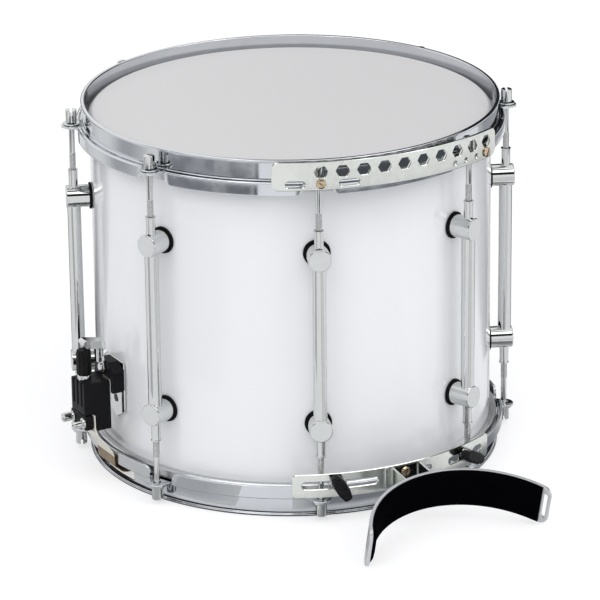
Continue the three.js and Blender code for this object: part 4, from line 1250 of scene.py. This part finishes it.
# Rings of the floor that cards lie in, from the drum's foot outwards, in metres
LOW_ZONE = (0.198, 0.262)
MID_ZONE = (0.32, 0.95)
HOOP_BAND = (0.97, 1.145)
HOOP_ZONE = (0.97, 1.3)

flat_card("hoop_dark_band", -93, -50, *HOOP_BAND, 0.21)
flat_card("hoop_dark_end", -58, -45.5, *HOOP_BAND, 0.08, (10, 0.4))
flat_card("hoop_light", -150, -141, *HOOP_ZONE, 0.80, (12, 9))
flat_card("hoop_grey", -127, -121, *HOOP_ZONE, 0.44, (9, 10))
flat_card("hoop_bright", -106, -100, *HOOP_ZONE, 0.80, (5, 4))
flat_card("hoop_right", 96, 140, *HOOP_ZONE, 0.36, (8, 14))
flat_card("skirt_front", -24, 66, 0.97, 1.06, 0.16, (3, 8))
# A dark card just under the carrier plate: painted shade in the hoop's reflection behind the plate
flat_card("painted_shade_behind_plate", -33, 27, 0.1915, 0.2185, 0.08, (0, 0), height=0.3045, edge=0.0005)
flat_card("low_front", -20, 50, *LOW_ZONE, 0.22, (10, 20))
flat_card("low_mid", -72, -59, *LOW_ZONE, 0.47, (8, 12))
flat_card("low_left", -96, -84, 0.2, 0.262, 0.62, (14, 14))
# A dark ring round the drum's foot: painted contact shadow in the metal's reflections
flat_card("low_edge", -180, 180, 0.184, 0.193, 0.02, (0, 0), edge=0.001)
flat_card("back_left", -170, -152, *MID_ZONE, 0.04, (6, 6))
flat_card("back_right", 92, 108, *MID_ZONE, 0.06, (6, 6))
flat_card("streak_left", -80, -70, 0.45, 0.95, 0.52, (8, 8))
flat_card("streak_front", 0, 16, *MID_ZONE, 0.78, (10, 10))
standing_card("shelf", -110, 150, distance=1.3, low=0.58, high=1.35, grey=0.02)
standing_card("rim_back", 100, 200, distance=1.5, low=0.30, high=0.70, grey=0.01)
flat_card("rim_over", 120, 182, 0.2, 0.52, 0.02, (4, 4), height=1.25, edge=0.03, base=1)
flat_card("over_front", -70, 20, 0.25, 0.75, 0.12, (20, 20), height=1.6, edge=0.05, base=1)


# Lights
def towards(azimuth, elevation):
    """The direction out from the drum at two angles in degrees."""
    a, e = radians(azimuth), radians(elevation)
    return Vector((sin(a) * cos(e), -cos(a) * cos(e), sin(e)))


def sun(name, azimuth, elevation, strength, spread):
    lamp = bpy.data.lights.new(name, "SUN")
    lamp.energy = strength
    lamp.angle = radians(spread)
    added(name, lamp).rotation_euler = towards(azimuth, elevation).to_track_quat("Z", "Y").to_euler()


def panel(name, azimuth, elevation, distance, width, height, power):
    lamp = bpy.data.lights.new(name, "AREA")
    lamp.shape = "RECTANGLE"
    lamp.size = width
    lamp.size_y = height
    lamp.energy = power
    made = added(name, lamp)
    made.location = towards(azimuth, elevation) * distance
    made.rotation_euler = towards(azimuth, elevation).to_track_quat("Z", "Y").to_euler()


sun("sky_light", azimuth=-22, elevation=55, strength=1.05, spread=60)
panel("key", azimuth=-75, elevation=40, distance=2.2, width=1.4, height=1.4, power=8)
panel("fill", azimuth=35, elevation=35, distance=2.4, width=1.2, height=1.6, power=12)


# World: white for the camera and for gloss, dimmer for the light it gives
def studio():
    world = bpy.data.worlds.new("studio")
    bpy.context.scene.world = world
    world.use_nodes = True
    tree = world.node_tree
    for spare in list(tree.nodes):
        if spare.type != "OUTPUT_WORLD":
            tree.nodes.remove(spare)
    dim = node(tree, "ShaderNodeBackground", Color=(0.975, 0.985, 1, 1), Strength=0.72)
    bright = node(tree, "ShaderNodeBackground", Color=(1, 1, 1, 1), Strength=1.0)
    mixed = by_ray(tree, ("Camera", "Glossy", "Transmission"), dim, bright)
    link(tree, mixed, tree.nodes["World Output"].inputs["Surface"])


studio()

# Camera at the photograph's angle, aimed a little beside the drum's axis
CAMERA_LENS = 227.64
CAMERA_AZIMUTH = -29.4
CAMERA_ELEVATION = 20.61
CAMERA_ROLL = radians(-0.63)
CAMERA_DISTANCE = 3420.04
AIM_HEIGHT = 131.18
AIM_SHIFT = 6.84

lens = bpy.data.cameras.new("camera")
lens.lens = CAMERA_LENS
lens.sensor_width = 36
lens.clip_end = 50
camera = added("camera", lens)
bpy.context.scene.camera = camera
back = towards(CAMERA_AZIMUTH, CAMERA_ELEVATION)
right = Vector((cos(radians(CAMERA_AZIMUTH)), sin(radians(CAMERA_AZIMUTH)), 0))
up = back.cross(right)
side = right * cos(CAMERA_ROLL) + up * sin(CAMERA_ROLL)
top = up * cos(CAMERA_ROLL) - right * sin(CAMERA_ROLL)
spot = Vector((0, 0, AIM_HEIGHT - HEAD_TOP)) + right * AIM_SHIFT + back * CAMERA_DISTANCE
camera.matrix_world = Matrix((
    (side.x, top.x, back.x, spot.x * MM),
    (side.y, top.y, back.y, spot.y * MM),
    (side.z, top.z, back.z, spot.z * MM),
    (0, 0, 0, 1),
))
bpy.context.scene.view_settings.view_transform = "Standard"
